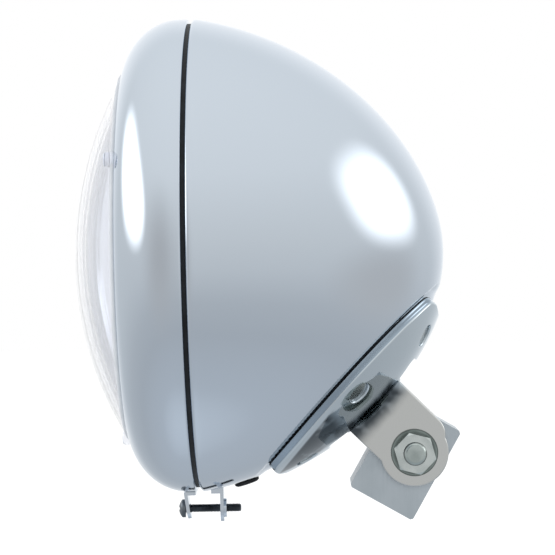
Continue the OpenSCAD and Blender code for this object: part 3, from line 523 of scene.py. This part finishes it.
def buildLens():
    # dome: distance = middle - sqrt(domeR^2 - r^2) out to a rounded edge, then the step and the flat back;
    # the inside follows at one glass thickness and is lifted by flute * sin(pi y / pitch)^2, the faint upright flutes
    k = lens
    dome = lambda r, rad: k["middle"] - np.sqrt(rad ** 2 - r ** 2)
    domeR, seatR = k["edgeR"] - k["domeEnd"], k["edgeR"] - k["seat"]
    r = np.linspace(0, domeR, k["rows"])
    edge = arcPoints((k["edgeR"] - k["round"], dome(domeR, k["domeR"]) + k["roundAt"]), k["round"], -62, 0, 6)
    step = np.array([[k["edgeR"], k["stepX"]], [k["stepR"], k["stepX"]], [k["stepR"], k["backX"]], [seatR, k["backX"]]])
    ri = np.linspace(seatR, 0, k["rows"])
    profile = np.concatenate([np.stack([r, dome(r, k["domeR"])], 1), edge, step,
                              np.stack([ri, dome(ri, k["domeR"] - k["glass"])], 1)])
    points, faces = turnedSurface(profile, evenTurns(k["turns"]), False)
    inner = np.arange(len(points))[:, None] // k["turns"] > k["rows"] + len(edge) + 3
    lift = k["flute"] * np.sin(np.pi * points[:, 1:2] / k["pitch"]) ** 2
    points = points - inner * np.concatenate([lift, 0 * lift, 0 * lift], 1)
    sets = [(f, None) for f in faces]
    # three aiming pads: a short stub with a rounded top, its foot sunk in the dome
    h = dome(k["padR"], k["domeR"]) - k["padH"]
    top = arcPoints((k["padD"] / 2 - k["padRound"], h + k["padRound"]), k["padRound"], -90, 0, 5)
    stub = np.concatenate([[[0, h]], top, [[k["padD"] / 2, h + k["padL"]], [0, h + k["padL"]]]])
    for angle in np.radians([0, 120, 240]):
        pad, padFaces = turnedSurface(stub, evenTurns(40), False)
        c, d = np.cos(angle), np.sin(angle)
        y, z = pad[:, 1], pad[:, 2] - k["padR"]
        sets += [(f + len(points), None) for f in padFaces]
        points = np.vstack([points, np.stack([pad[:, 0], c * y - d * z, d * y + c * z], 1)])
    piece = makePiece("lensDome", points, sets, slot="lens_glass", crease=40)
    # the outermost ring of the dome is ground, so that the dark joint behind it doesn't show through
    dress(piece, lensGlass)
    piece.data.materials.append(groundEdge)
    middle = np.concatenate([points[f].mean(1) for f, _ in sets[:2]])
    ground = np.zeros(len(piece.data.polygons), int)
    ground[:len(middle)] = np.hypot(middle[:, 1], middle[:, 2]) > k["edgeR"] - k["ground"]
    piece.data.polygons.foreach_set("material_index", ground)
    return piece


def turnedNode(name, node, material, profile, count=180, **more):
    piece = turnedPiece(name, profile, count, **more)
    dress(piece, material)
    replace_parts(piece, node)


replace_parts(buildLens(), "lens")

# parabola of the reflector: distance = back - (r^2 - neck^2) / k
mirror = {"frontR": 64.8, "k": 88.96, "back": 27.5, "neck": 14.0, "wall": 1.6, "flangeX": 32.5}
r = np.linspace(mirror["frontR"], mirror["neck"], 90)
bend = mirror["back"] - (r ** 2 - mirror["neck"] ** 2) / mirror["k"]
edgeX = lens["backX"] + mirror["wall"]
behind = np.stack([r[::-1], bend[::-1] + 1.3 * mirror["wall"]], 1)[:-6]
turnedNode("reflectorBowl", "reflector", silver, np.concatenate([
    [[lens["stepR"], edgeX], [lens["stepR"], lens["backX"]]], np.stack([r, bend], 1),
    [[mirror["neck"], mirror["flangeX"]], [mirror["neck"] + mirror["wall"], mirror["flangeX"]]], behind,
    [[mirror["frontR"] + 0.6, edgeX]]])[::-1], 240, crease=30, slot="silvered_reflector")

# bulb glass: a tube with a round tip, blown 0.9 mm thick
bulb = {"r": 8.0, "tip": -13.5, "base": 20.5, "wall": 0.9}
tipOut = arcPoints((0, 0), bulb["r"], -90, 0, 16)
tipIn = arcPoints((0, 0), bulb["r"] - bulb["wall"], 0, -90, 16)
tipOut[:, 1] += bulb["tip"] + bulb["r"]
tipIn[:, 1] += bulb["tip"] + bulb["r"]
tipOut[0, 0] = tipIn[-1, 0] = 0
turnedNode("bulbTube", "bulb_glass", bulbGlass, np.concatenate([tipOut, [[bulb["r"], bulb["base"]],
           [bulb["r"] - bulb["wall"], bulb["base"]]], tipIn]), 64, closed=False, slot="bulb_glass")
print("lens with flutes and pads, reflector, bulb")

# pivot bolt and clamp screw

bolt = {"r": 4.0, "pitch": 1.25, "depth": 0.55, "af": 12.8, "head": 5.3, "under": -17.6, "end": 25.8, "thread": 13.0,
        "tip": 0.8, "taper": 0.25, "turn": 15.0}


def cappedGrid(points, flip=False):
    # rings of points joined up, the first and the last ring closed by a fan to its middle
    rows, columns = points.shape[:2]
    j, top = np.arange(columns), (rows - 1) * columns
    after = (j + 1) % columns
    first, last = np.full(columns, rows * columns), np.full(columns, rows * columns + 1)
    faces = [gridFaces(rows, columns, wrapColumns=True), np.stack([first, after, j], 1),
             np.stack([last, top + j, top + after], 1)]
    return (np.vstack([points.reshape(-1, 3), points[0].mean(0), points[-1].mean(0)]),
            [(f[:, ::-1] if flip else f, None) for f in faces])


def threadedRod(radius, depth, pitch, low, high, threadFrom, columns, tip):
    # rod along its own z, ten rings to a pitch; the radius dips by depth * (triangle wave of z / pitch - angle / full
    # turn, a little steepened for flat crests and roots), and the last tip mm round off to the end
    rows = int((high - low) / pitch * 10)
    z = np.linspace(low, high, rows)[:, None]
    a = evenTurns(columns)[None, :]
    wave = np.abs(((z / pitch - a / (2 * np.pi)) % 1) - 0.5) * 2
    cutIn = smoothStep((z - threadFrom) / pitch) * np.clip(1.15 * wave - 0.08, 0, 1)
    end = np.sqrt(np.clip(1 - (np.clip(z - (high - tip), 0, tip) / tip * 0.97) ** 2, 0, 1)) if tip else 1.0
    r = np.minimum(radius - depth * cutIn, radius * (0.35 + 0.65 * end) if tip else radius)
    return cappedGrid(np.stack([r * np.cos(a), r * np.sin(a), np.broadcast_to(z, r.shape)], 2))


def hexHead(af, height):
    # radius = the smaller of the hexagon's af / 2 / cos(angle in its side) and the turned chamfer, height along -z
    a = evenTurns(180)[None, :]
    side = af / 2 / np.cos((a + np.pi / 6) % (np.pi / 3) - np.pi / 6)
    z = np.concatenate([[0], np.linspace(0.05, 1, 16)])[:, None] * height
    r = np.minimum(side, af / 2 + 0.35 + (height - z) * 1.6)
    r[-1] = np.minimum(r[-1], af / 2 * 0.97)
    return cappedGrid(np.stack([r * np.cos(a), r * np.sin(a), np.broadcast_to(-z, r.shape)], 2), flip=True)


def joined(parts):
    # puts the points of several parts one after the other and shifts their faces along
    points, sets = [], []
    for partPoints, partSets in parts:
        start = sum(len(q) for q in points)
        points.append(partPoints)
        sets += [(faces + start, normals) for faces, normals in partSets]
    return np.vstack(points), sets


def buildBolt():
    rod, rodSets = threadedRod(bolt["r"], bolt["depth"], bolt["pitch"], bolt["under"] - 0.5, bolt["end"],
                               bolt["thread"], 72, 0)
    top = rod[:, 2] > bolt["end"] - bolt["tip"]
    rod[top, :2] *= (1 - (rod[top, 2:] - bolt["end"] + bolt["tip"]) * bolt["taper"])
    head, headSets = hexHead(bolt["af"], bolt["head"])
    head[:, 2] += bolt["under"]
    points, sets = joined([(rod, rodSets), (head, headSets)])
    c, d = np.cos(np.radians(bolt["turn"])), np.sin(np.radians(bolt["turn"]))
    x, y, z = points[:, 0] * c - points[:, 1] * d, points[:, 0] * d + points[:, 1] * c, points[:, 2]
    points = np.stack([x + pivotAt[0], -z, y + pivotAt[1]], 1)
    piece = makePiece("pivotBoltThreaded", points, sets, inLampFrame=False, body="lamp", crease=24, slot="zinc_steel")
    dress(piece, zincSteel)
    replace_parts(piece, "pivot_bolt")


buildBolt()

screw = {"under": -5.23, "length": 19.5, "drop": 88.6, "r": 1.5, "pitch": 0.5, "depth": 0.27, "tip": 0.9,
         "headR": 3.2, "headH": 2.4, "domeR": 4.6, "slotW": 0.42, "slotL": 1.7, "slotD": 1.4}


def buildClampScrew():
    # threaded rod with a domed head: height = headH - (domeR - sqrt(domeR^2 - r^2)), less slotD in a cross recess
    # whose sides slope in
    rod, rodSets = threadedRod(screw["r"], screw["depth"], screw["pitch"], -0.4, screw["length"], 0.6, 40, screw["tip"])
    rows = np.concatenate([np.linspace(0, 1, 30)[1:], [1]])
    a = evenTurns(96)[None, :]
    r = (rows * screw["headR"])[:, None]
    dome = screw["headH"] - (screw["domeR"] - np.sqrt(np.clip(screw["domeR"] ** 2 - r ** 2, 0, None)))
    x, y = r * np.cos(a), r * np.sin(a)
    slot = (smoothStep((screw["slotW"] - np.minimum(np.abs(x), np.abs(y))) / 0.15 + 0.5)
            * smoothStep((screw["slotL"] - r) / 0.3 + 0.5))
    z = -(dome - screw["slotD"] * slot)
    z[-1] = 0
    points, sets = joined([(rod, rodSets), cappedGrid(np.stack([x, y, z], 2))])
    points = np.stack([points[:, 2] + screw["under"], points[:, 1], points[:, 0] - screw["drop"]], 1)
    sets = [(faces[:, ::-1], None) for faces, _ in sets]
    piece = makePiece("clampScrewThreaded", points, sets, slot="black_steel", crease=50)
    dress(piece, blackSteel)
    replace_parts(piece, "clamp_screw")
buildClampScrew()
print("threaded bolt and clamp screw")

# bracket

arm = {"pivotU": 2.0, "pivotN": 101.804, "endR": 11.8, "left": -13.9, "right": 10.1, "cornerR": 7.0, "cornerN": -1.5,
       "inner": 12.6, "outer": 16.0, "round": 0.5, "hole": 4.1, "sunk": 0.9, "straightTo": -6.2, "endTurn": 159.5,
       "shoulderTurn": 126.4, "fillet": 4.0, "runOut": 3, "offArm": 0.03, "offFoot": 0.04}
window = {"halfU": 21.2, "halfY": 16.5, "r": 3.5, "low": -12.9, "high": 13.1, "narrowY": 12.6, "step": 0.6}


def overFoot(place, height):
    # the point straight over (u, y) on the surface one height over the housing, by repeated correction
    at = place
    for _ in range(4):
        p, normal = onFoot(at, np.full(len(at), height))
        at = at - (toFoot(p)[:, :2] - place)
    return onFoot(at, np.full(len(at), height))


def roundedLoop(corners, radii, step):
    # closed loop with each corner turned into a quarter circle; straight parts are cut every step mm
    corners = np.array(corners, float)
    t = np.linspace(0, 1, 7)[:, None] * np.pi / 2
    loop = []
    for i, r in enumerate(radii):
        c, before, after = corners[i], corners[i - 1], corners[(i + 1) % len(corners)]
        a, b = (before - c) / np.linalg.norm(before - c), (after - c) / np.linalg.norm(after - c)
        loop.append(c + r * (a + b) - r * (b * np.cos(t) + a * np.sin(t)))
    out = []
    for i, piece in enumerate(loop):
        after = loop[(i + 1) % len(loop)][0]
        count = max(int(np.linalg.norm(after - piece[-1]) / step), 1)
        out.append(piece)
        out.append(piece[-1] + (after - piece[-1]) * np.linspace(0, 1, count + 1)[1:-1, None])
    return np.concatenate(out)


def footEnd(height, across):
    # half length of the foot at a height: straight, then thinned by a bevel that runs out towards the corners
    thinned = np.clip((height - 0.18) / 0.82, 0, 1) * np.clip(1 - (across / foot["endY"]) ** 2, 0, 1)
    return foot["halfLength"] - foot["bevel"] * thinned


def footLoop(height):
    # in polar form the smaller of the cone edgeSlope * (n - hug) and the straight end / |cos|, blended with a power;
    # the angles crowd within 34 degrees of the straight ends
    power = 45
    crowded = np.radians([s * 180 + d for s in (0, 1, 2) for d in np.linspace(-34, 34, 60)]) % (2 * np.pi)
    a = np.sort(np.concatenate([evenTurns(260), crowded]))
    a = a[np.concatenate([[True], np.diff(a) > 4e-3])]
    way = np.stack([np.cos(a), np.sin(a)], 1)
    away = np.maximum(np.abs(way[:, 0]), 1e-3)
    end = footEnd(height, foot["halfLength"] * way[:, 1] / away) / away
    far = np.full(len(a), 40.0)
    for _ in range(14):
        p, _ = overFoot(far[:, None] * way, height)
        side = edgeSlope * (toFoot(p)[:, 2] - foot["hug"])
        far = (side ** -power + end ** -power) ** (-1 / power)
    return far[:, None] * way


def windowLoop(height):
    # clockwise, as every hole is: the long opening, stepped in where the arms stand
    w = window
    u, y, n = w["halfU"], w["halfY"], w["narrowY"]
    upper = [(u, y), (u, -y), (w["high"], -y), (w["high"], -n), (w["low"], -n), (w["low"], -y), (-u, -y), (-u, y),
             (w["low"], y), (w["low"], n), (w["high"], n), (w["high"], y)]
    return roundedLoop(upper, [w["r"], w["r"]] + [w["step"]] * 4 + [w["r"], w["r"]] + [w["step"]] * 4, 1.2)


def footHoles():
    places = [(su * foot["cornerU"], sy * foot["cornerY"]) for su in (-1, 1) for sy in (-1, 1)]
    return [footHoleLoop(u, y) for u, y in places + [(0.0, -foot["sideY"]), (0.0, foot["sideY"])]]


def footHoleLoop(u, y):
    # circle round the housing's normal under the hole, square to it at every height
    middle, normal = onFoot(np.array([[u, y]]), np.zeros(1))
    across = np.cross(normal, (0, 0, 1.0))
    across /= np.linalg.norm(across)
    a = -evenTurns(48)[:, None]
    ring = foot["hole"] * (np.cos(a) * across + np.sin(a) * np.cross(normal, across))
    return lambda height: toFoot(middle + height * normal + ring)[:, :2]


def withinLoops(places, loops):
    # even-odd count of the loop edges that a ray along +u crosses
    inside = np.zeros(len(places), bool)
    for loop in loops:
        after = np.roll(loop, -1, 0)
        x, y = places[:, :1], places[:, 1:]
        spans = (loop[:, 1] > y) != (after[:, 1] > y)
        rise = np.where(after[:, 1] == loop[:, 1], 1e-9, after[:, 1] - loop[:, 1])
        left = x < loop[:, 0] + (after[:, 0] - loop[:, 0]) * (y - loop[:, 1]) / rise
        inside ^= ((spans & left).sum(1) % 2).astype(bool)
    return inside


def fillLoops(loops, spacing):
    # constrained Delaunay triangles between the loops over a grid of inner points;
    # returns the inner points and faces that index loops, then grid
    edge = np.concatenate(loops)
    low, high = edge.min(0), edge.max(0)
    grid = np.stack(np.meshgrid(np.arange(low[0], high[0], spacing), np.arange(low[1], high[1], spacing)), -1)
    grid = grid.reshape(-1, 2)
    grid = grid[withinLoops(grid, loops)]
    grid = grid[np.sqrt(((grid[:, None] - edge[None]) ** 2).sum(2).min(1)) > spacing * 0.6]
    sizes = [len(q) for q in loops]
    starts = np.cumsum([0] + sizes)
    edges = [(int(a + i), int(a + (i + 1) % n)) for a, n in zip(starts, sizes) for i in range(n)]
    places = np.vstack([edge, grid])
    out = delaunay_2d_cdt([tuple(q) for q in places], edges, [], 0, 1e-6)
    source = np.array([ids[0] if ids else int(np.argmin(((places - np.array(at)) ** 2).sum(1)))
                       for at, ids in zip(out[0], out[3])])
    faces = source[np.array(out[2])]
    faces = faces[(faces[:, 0] != faces[:, 1]) & (faces[:, 1] != faces[:, 2]) & (faces[:, 2] != faces[:, 0])]
    faces = faces[withinLoops(places[faces].mean(1), loops)]
    a, b, c = (places[faces[:, i]] for i in range(3))
    flip = (b[:, 0] - a[:, 0]) * (c[:, 1] - a[:, 1]) < (b[:, 1] - a[:, 1]) * (c[:, 0] - a[:, 0])
    faces[flip] = faces[flip][:, ::-1]
    return grid, faces


def slab(levels, loops, place, spacing):
    # sheet with rounded edges: levels are (height, inset, turn) from its underside to its top, turn None on a flat
    # wall, and else the edge's normal is cos(turn) * outward + sin(turn) * upward; place gives points and upward
    # normals over the sheet; the first loop runs round it counter-clockwise, the others are holes and run clockwise
    points, sets, rims = [], [], {0: [], len(levels) - 1: []}
    count = 0
    unit = lambda v: v / np.linalg.norm(v, axis=-1, keepdims=True)
    ends = {}
    for number, loop in enumerate(loops):
        rows = []
        for i, (height, inset, turn) in enumerate(levels):
            q = loop(height)
            area = (q[:, 0] * np.roll(q[:, 1], -1) - q[:, 1] * np.roll(q[:, 0], -1)).sum()
            q = q[::-1] if (number == 0) != (area > 0) else q
            t = unit(np.roll(q, -1, 0) - np.roll(q, 1, 0))
            q = q - (inset if number == 0 else max(inset, 0)) * np.stack([t[:, 1], -t[:, 0]], 1)
            p, up = place(q, height)
            along = unit(np.roll(p, -1, 0) - np.roll(p, 1, 0))
            rows.append((p, up, along))
            if i in rims:
                rims[i].append(q)
                ends.setdefault(i, []).append(count + i * len(q) + np.arange(len(q)))
        size = len(rows[0][0])
        for i in range(len(rows) - 1):
            (p0, up0, along0), (p1, up1, along1) = rows[i], rows[i + 1]
            turns = levels[i][2], levels[i + 1][2]
            if None in turns:
                n0, n1 = unit(np.cross(along0, p1 - p0)), unit(np.cross(along1, p1 - p0))
            else:
                a0, a1 = np.radians(turns)
                n0 = np.cos(a0) * unit(np.cross(along0, up0)) + np.sin(a0) * up0
                n1 = np.cos(a1) * unit(np.cross(along1, up1)) + np.sin(a1) * up1
            faces = gridFaces(2, size, wrapColumns=True, start=count + i * size)
            sets.append((faces, np.stack([n0, np.roll(n0, -1, 0), np.roll(n1, -1, 0), n1], 1)))
        points += [row[0] for row in rows]
        count += size * len(rows)
    for i, side in ((0, -1), (len(levels) - 1, 1)):
        grid, faces = fillLoops(rims[i], spacing)
        p, up = place(np.vstack(rims[i] + [grid]), levels[i][0])
        number = np.concatenate(ends[i] + [count + np.arange(len(grid))])
        points.append(p[len(p) - len(grid):])
        count += len(grid)
        faces = faces[:, ::side]
        sets.append((number[faces], side * up[faces]))
    return np.vstack(points), sets


def roundedLevels(low, high, r, bothSides):
    arc = [(np.sin(np.radians(t)), 1 - np.cos(np.radians(t)), t) for t in (0, 22.5, 45, 67.5, 90)]
    top = [(high - r + r * h, r * i, t) for h, i, t in arc]
    return [(low + r - r * h, r * i, -t) for h, i, t in arc[::-1]] + top if bothSides else top


def armLoop(height):
    # right edge, round end about the pivot, shoulder and left edge; its root is sunk in the foot
    a = arm
    root = float(bowlUnder(np.array(0.0), np.array((a["inner"] + a["outer"]) / 2))) + a["sunk"] - a["pivotN"]
    end = np.degrees(np.arctan2(-np.sqrt(a["endR"] ** 2 - a["right"] ** 2), a["right"]))
    shoulder = (a["left"] + a["cornerR"], a["cornerN"])
    loop = np.concatenate([
        np.linspace([a["right"], root], [a["right"], a["straightTo"]], 14)[:-1],
        arcPoints((0, 0), a["endR"], end, a["endTurn"], 72),
        arcPoints(shoulder, a["cornerR"], a["shoulderTurn"], 180, 16)[1:],
        np.linspace([a["left"], a["cornerN"]], [a["left"], root], 18)[1:],
        np.linspace([a["left"], root], [a["right"], root], 16)[1:-1]])
    return loop + np.array([a["pivotU"], a["pivotN"]])


def pivotLoop(height):
    a = -evenTurns(64)
    return np.stack([arm["pivotU"] + arm["hole"] * np.cos(a), arm["pivotN"] + arm["hole"] * np.sin(a)], 1)


def overArm(places, height):
    return fromFoot(places[:, 0], -height, places[:, 1]), np.tile([0.0, -1.0, 0.0], (len(places), 1))


def rootFillet(side):
    # hollow quarter round between an arm's outer face and the foot, swept down the foot; its radius is
    # fillet * sqrt(distance to the nearer end / runOut), so that it runs out at both ends
    u = np.linspace(arm["pivotU"] + arm["left"], arm["pivotU"] + arm["right"], 60)
    nearEnd = np.minimum(u - u[0], u[-1] - u)
    r = arm["fillet"] * np.sqrt(np.clip(nearEnd / arm["runOut"] + 0.01, 0, 1))[:, None]
    a = np.radians(np.linspace(180, 270, 14))
    y = np.concatenate([arm["outer"] + arm["offArm"] + r + r * np.cos(a), 0 * r + arm["outer"] - 1], 1)
    footTop = foot["base"] + foot["thick"]
    top, near = (toFoot(overFoot(np.stack([u, across], 1), footTop)[0])[:, 2:]
                 for across in (arm["outer"] + r[:, 0], np.full(len(u), arm["outer"])))
    top = top + arm["offFoot"]
    n = np.concatenate([top + r + r * np.sin(a), near - 1], 1)
    points = fromFoot(u[:, None], side * y, n).reshape(-1, 3)
    rows, columns = y.shape
    inward = np.concatenate([np.stack([0 * a, -np.cos(a), -np.sin(a)], 1), [[0, -1, -1]]]) * [1, side, 1]
    axes = np.array([[-slant, 0, -slant], [0, 1, 0], [slant, 0, -slant]])
    normal = np.tile(inward @ axes, (rows, 1))
    quads = gridFaces(rows, columns, wrapColumns=True)
    caps = np.array([[row * columns + columns - 1, row * columns + j, row * columns + j + 1]
                     for row in (0, rows - 1) for j in range(columns - 2)])
    capNormal = np.repeat(np.array([-axes[0], axes[0]]), columns - 2, 0)[:, None] * np.ones((1, 3, 1))
    if side < 0:
        caps[: columns - 2] = caps[: columns - 2, ::-1]
    else:
        quads, caps[columns - 2:] = quads[:, ::-1], caps[columns - 2:, ::-1]
    return points, [(quads, normal[quads]), (caps, capNormal)]


def buildBracket():
    base, top = foot["base"], foot["base"] + foot["thick"]
    levels = [(height, 0, None) for height in (base, 0.18, 1.0, 1.7)] + roundedLevels(base, top, foot["edge"], False)
    parts = [slab(levels, [footLoop, windowLoop] + footHoles(), overFoot, 1.3)]
    for low in (arm["inner"], -arm["outer"]):
        armLevels = roundedLevels(low, low + arm["outer"] - arm["inner"], arm["round"], True)
        parts.append(slab(armLevels, [armLoop, pivotLoop], overArm, 3.0))
    piece = makePiece("bracketSheet", *joined(parts + [rootFillet(1), rootFillet(-1)]), slot="chrome_bracket")
    dress(piece, chromeBracket)
    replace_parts(piece, "mount_bracket")


buildBracket()


def buildBracketGasket():
    # rubber sheet under the foot, its edge squeezed out into a small bead along every outline
    bead = [(-0.8, 0.1, None), (-0.72, 0.0, -45), (-0.6, -0.06, 0), (-0.42, 0.0, 45), (-0.34, 0.2, 60),
            (-0.34, 0.5, 90)]
    points, sets = slab(bead, [footLoop, windowLoop] + footHoles(), overFoot, 2.5)
    piece = makePiece("gasketSheet", points, sets, slot="black_rubber")
    dress(piece, rubber)
    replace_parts(piece, "bracket_gasket")


buildBracketGasket()
print("bracket and its gasket")

# camera

view = {"place": (-0.018791, -0.839310, 0.078400), "right": (0.99964, 0.01867, -0.01924), "up": (0.01924, 0.0, 0.99981),
        "lens": 155.18}
right, up = np.array(view["right"]), np.array(view["up"])
back = np.cross(right, up)
cameraData = bpy.data.cameras.new("productCamera")
cameraData.lens = view["lens"]
cameraData.sensor_width = 36
cameraObject = bpy.data.objects.new("productCamera", cameraData)
turn = np.eye(4)
turn[:3, 0], turn[:3, 1], turn[:3, 2], turn[:3, 3] = right, up, back, view["place"]
cameraObject.matrix_world = Matrix(turn.tolist())
scene.collection.objects.link(cameraObject)
scene.camera = cameraObject

# floor, world and lamps

# half the width of the sheet in metres, and its own glow
stage = {"floorZ": -0.06, "half": 4.0, "glow": 0.42}
# tones at heights from straight down to straight up; red and blue are shares of the tone, and their change downwards;
# a card is (centre, reach along x, y and z, share of it that is even, tone)
tent = {"soft": 0.72, "red": (0.985, 0.05), "blue": (1.005, 0.07),
        "heights": [(-1.0, 0.82), (-0.9, 0.68), (-0.6, 0.62), (-0.38, 0.67), (-0.13, 0.8), (0.1, 0.87), (0.35, 0.94),
                    (0.6, 1.02), (1.0, 1.08)],
        "cards": [((0.0, 1.0, 0.35), (1.3, 0.5, 0.8), 0.3, 1.15),
                  ((-0.4, -0.8, -0.05), (0.75, 0.75, 0.7), 0.1, 0.64),
                  ((1.0, 0.2, -0.2), (0.3, 0.7, 0.35), 0.2, 0.68)]}
# all softboxes stand this far in metres from the place that they face
stand = {"target": (-0.02, -0.04, 0.09), "away": 1.1}
softboxes = {"right": {"turn": 13.0, "rise": 19.8, "size": (1.06, 0.84), "power": 6.5, "fade": 0.05, "corner": 2.4},
             "left": {"turn": 179, "rise": 19, "size": (1.6, 0.72), "power": 8, "fade": 0.2, "corner": 2.2,
                      "spin": -10}}


def buildFloor():
    # a plain pale sheet with a little glow for the camera, so that it is white outside the shadow;
    # metal sees the tent through it
    h, z = stage["half"], stage["floorZ"]
    mesh = bpy.data.meshes.new("floor")
    mesh.from_pydata([(-h, -h, z), (h, -h, z), (h, h, z), (-h, h, z)], [], [(0, 1, 2, 3)])
    floor = bpy.data.objects.new("floor", mesh)
    scene.collection.objects.link(floor)
    material, tree, at = newMaterial("paleStudioSheet")
    cloud = addNode(tree, "ShaderNodeTexNoise", links={"Vector": at}, Scale=3.0)
    colour = addNode(tree, "ShaderNodeValToRGB", links={0: cloud.outputs["Fac"]},
                     stops=[(0.3, fromHex("#F4F5F6")), (0.7, fromHex("#F7F8F9"))]).outputs[0]
    path = addNode(tree, "ShaderNodeLightPath")
    seen = addNode(tree, "ShaderNodeMath", {"operation": "MAXIMUM"},
                   {0: path.outputs["Is Camera Ray"], 1: path.outputs["Is Transmission Ray"]})
    glow = addNode(tree, "ShaderNodeMath", {"operation": "MULTIPLY"}, {0: seen.outputs[0]}, n1=stage["glow"])
    sheet = addNode(tree, "ShaderNodeBsdfPrincipled",
                    links={"Base Color": colour, "Emission Strength": glow.outputs[0]}, Roughness=0.9,
                    Emission_Color=(1, 1, 1, 1), Specular_IOR_Level=0.0)
    clear = addNode(tree, "ShaderNodeBsdfTransparent")
    both = addNode(tree, "ShaderNodeMixShader",
                   links={0: path.outputs["Is Glossy Ray"], 1: sheet.outputs[0], 2: clear.outputs[0]})
    addNode(tree, "ShaderNodeOutputMaterial", links={"Surface": both.outputs[0]})
    mesh.materials.append(material)


def buildWorld():
    # white to the camera and through glass; metal sees a pale tent that is white overhead and greyer below,
    # with a few soft cards: each is a blob of directions with a centre, a reach along x, y and z, and a tone
    world = bpy.data.worlds.new("studioTent")
    scene.world = world
    world.use_nodes = True
    tree = world.node_tree
    tree.nodes.clear()
    path = addNode(tree, "ShaderNodeLightPath")
    way = addNode(tree, "ShaderNodeTexCoord").outputs["Generated"]
    height = addNode(tree, "ShaderNodeSeparateXYZ", links={0: way}).outputs["Z"]
    share = addNode(tree, "ShaderNodeMapRange", links={"Value": height}, n1=-1.0, n2=1.0)
    (red, redDown), (blue, blueDown) = tent["red"], tent["blue"]
    tone = addNode(tree, "ShaderNodeValToRGB", links={0: share.outputs[0]}, stops=[
        ((z + 1) / 2, (v * (red + redDown * min(z, 0)), v, v * (blue - blueDown * min(z, 0)), 1))
        for z, v in tent["heights"]]).outputs[0]
    for centre, reach, core, value in tent["cards"]:
        offset = addNode(tree, "ShaderNodeVectorMath", {"operation": "SUBTRACT"}, {0: way}, n1=centre)
        scaled = addNode(tree, "ShaderNodeVectorMath", {"operation": "DIVIDE"}, {0: offset.outputs[0]}, n1=reach)
        far = addNode(tree, "ShaderNodeVectorMath", {"operation": "LENGTH"}, {0: scaled.outputs[0]})
        inside = addNode(tree, "ShaderNodeMapRange", {"interpolation_type": "SMOOTHSTEP"},
                         {"Value": far.outputs["Value"]}, n1=core, n2=1.0, n3=1.0, n4=0.0)
        tone = addNode(tree, "ShaderNodeMix", {"data_type": "RGBA"}, {0: inside.outputs[0], 6: tone},
                       n7=(value, value, value, 1)).outputs[2]
    metal = addNode(tree, "ShaderNodeBackground", links={"Color": tone}, Strength=1.0)
    soft = addNode(tree, "ShaderNodeBackground", Color=(1, 1, 1, 1), Strength=tent["soft"])
    white = addNode(tree, "ShaderNodeBackground", Color=(1, 1, 1, 1), Strength=1.0)
    seen = addNode(tree, "ShaderNodeMath", {"operation": "MAXIMUM"},
                   {0: path.outputs["Is Camera Ray"], 1: path.outputs["Is Transmission Ray"]})
    first = addNode(tree, "ShaderNodeMixShader",
                    links={0: path.outputs["Is Glossy Ray"], 1: soft.outputs[0], 2: metal.outputs[0]})
    last = addNode(tree, "ShaderNodeMixShader", links={0: seen.outputs[0], 1: first.outputs[0], 2: white.outputs[0]})
    addNode(tree, "ShaderNodeOutputWorld", links={"Surface": last.outputs[0]})


def addSoftbox(name, turn, rise, size, power, fade, corner, spin=0):
    # a softbox that faces the lamp, its cloth bright in the middle and fading to a rounded outline
    # (|across|^corner + |up|^corner); turn is measured from +X towards +Y, spin is its own tilt
    target = np.array(stand["target"])
    a, e = np.radians(turn), np.radians(rise)
    place = target + stand["away"] * np.array([np.cos(e) * np.cos(a), np.cos(e) * np.sin(a), np.sin(e)])
    data = bpy.data.lights.new(name, "AREA")
    data.shape = "RECTANGLE"
    data.size, data.size_y = size
    data.energy = power
    data.use_nodes = True
    tree = data.node_tree
    tree.nodes.clear()
    across = addNode(tree, "ShaderNodeNewGeometry").outputs["Parametric"]
    offset = addNode(tree, "ShaderNodeVectorMath", {"operation": "SUBTRACT"}, {0: across}, n1=(0.5, 0.5, 0))
    split = addNode(tree, "ShaderNodeSeparateXYZ", links={0: offset.outputs[0]})
    offsets = [addNode(tree, "ShaderNodeMath", {"operation": "ABSOLUTE"}, {0: split.outputs[axis]}) for axis in "XY"]
    powers = [addNode(tree, "ShaderNodeMath", {"operation": "POWER"}, {0: part.outputs[0]}, n1=corner).outputs[0]
              for part in offsets]
    total = addNode(tree, "ShaderNodeMath", {"operation": "ADD"}, {0: powers[0], 1: powers[1]})
    far = addNode(tree, "ShaderNodeMath", {"operation": "POWER"}, {0: total.outputs[0]}, n1=1 / corner)
    cloth = addNode(tree, "ShaderNodeMapRange", {"interpolation_type": "SMOOTHSTEP"}, {"Value": far.outputs[0]},
                    n1=fade, n2=0.5, n3=1.0, n4=0.0)
    emission = addNode(tree, "ShaderNodeEmission", links={"Strength": cloth.outputs[0]})
    addNode(tree, "ShaderNodeOutputLight", links={"Surface": emission.outputs[0]})
    lamp = bpy.data.objects.new(name, data)
    z = place - target
    z /= np.linalg.norm(z)
    x = np.cross((0, 0, 1), z)
    x /= np.linalg.norm(x)
    pose = np.eye(4)
    y, c, d = np.cross(z, x), np.cos(np.radians(spin)), np.sin(np.radians(spin))
    pose[:3, 0], pose[:3, 1], pose[:3, 2], pose[:3, 3] = c * x + d * y, c * y - d * x, z, place
    lamp.matrix_world = Matrix(pose.tolist())
    scene.collection.objects.link(lamp)
    return lamp


buildFloor()
buildWorld()
for name, box in softboxes.items():
    addSoftbox(name + "Softbox", **box)
scene.view_settings.view_transform = "Standard"
print("camera, floor, world and lamps")
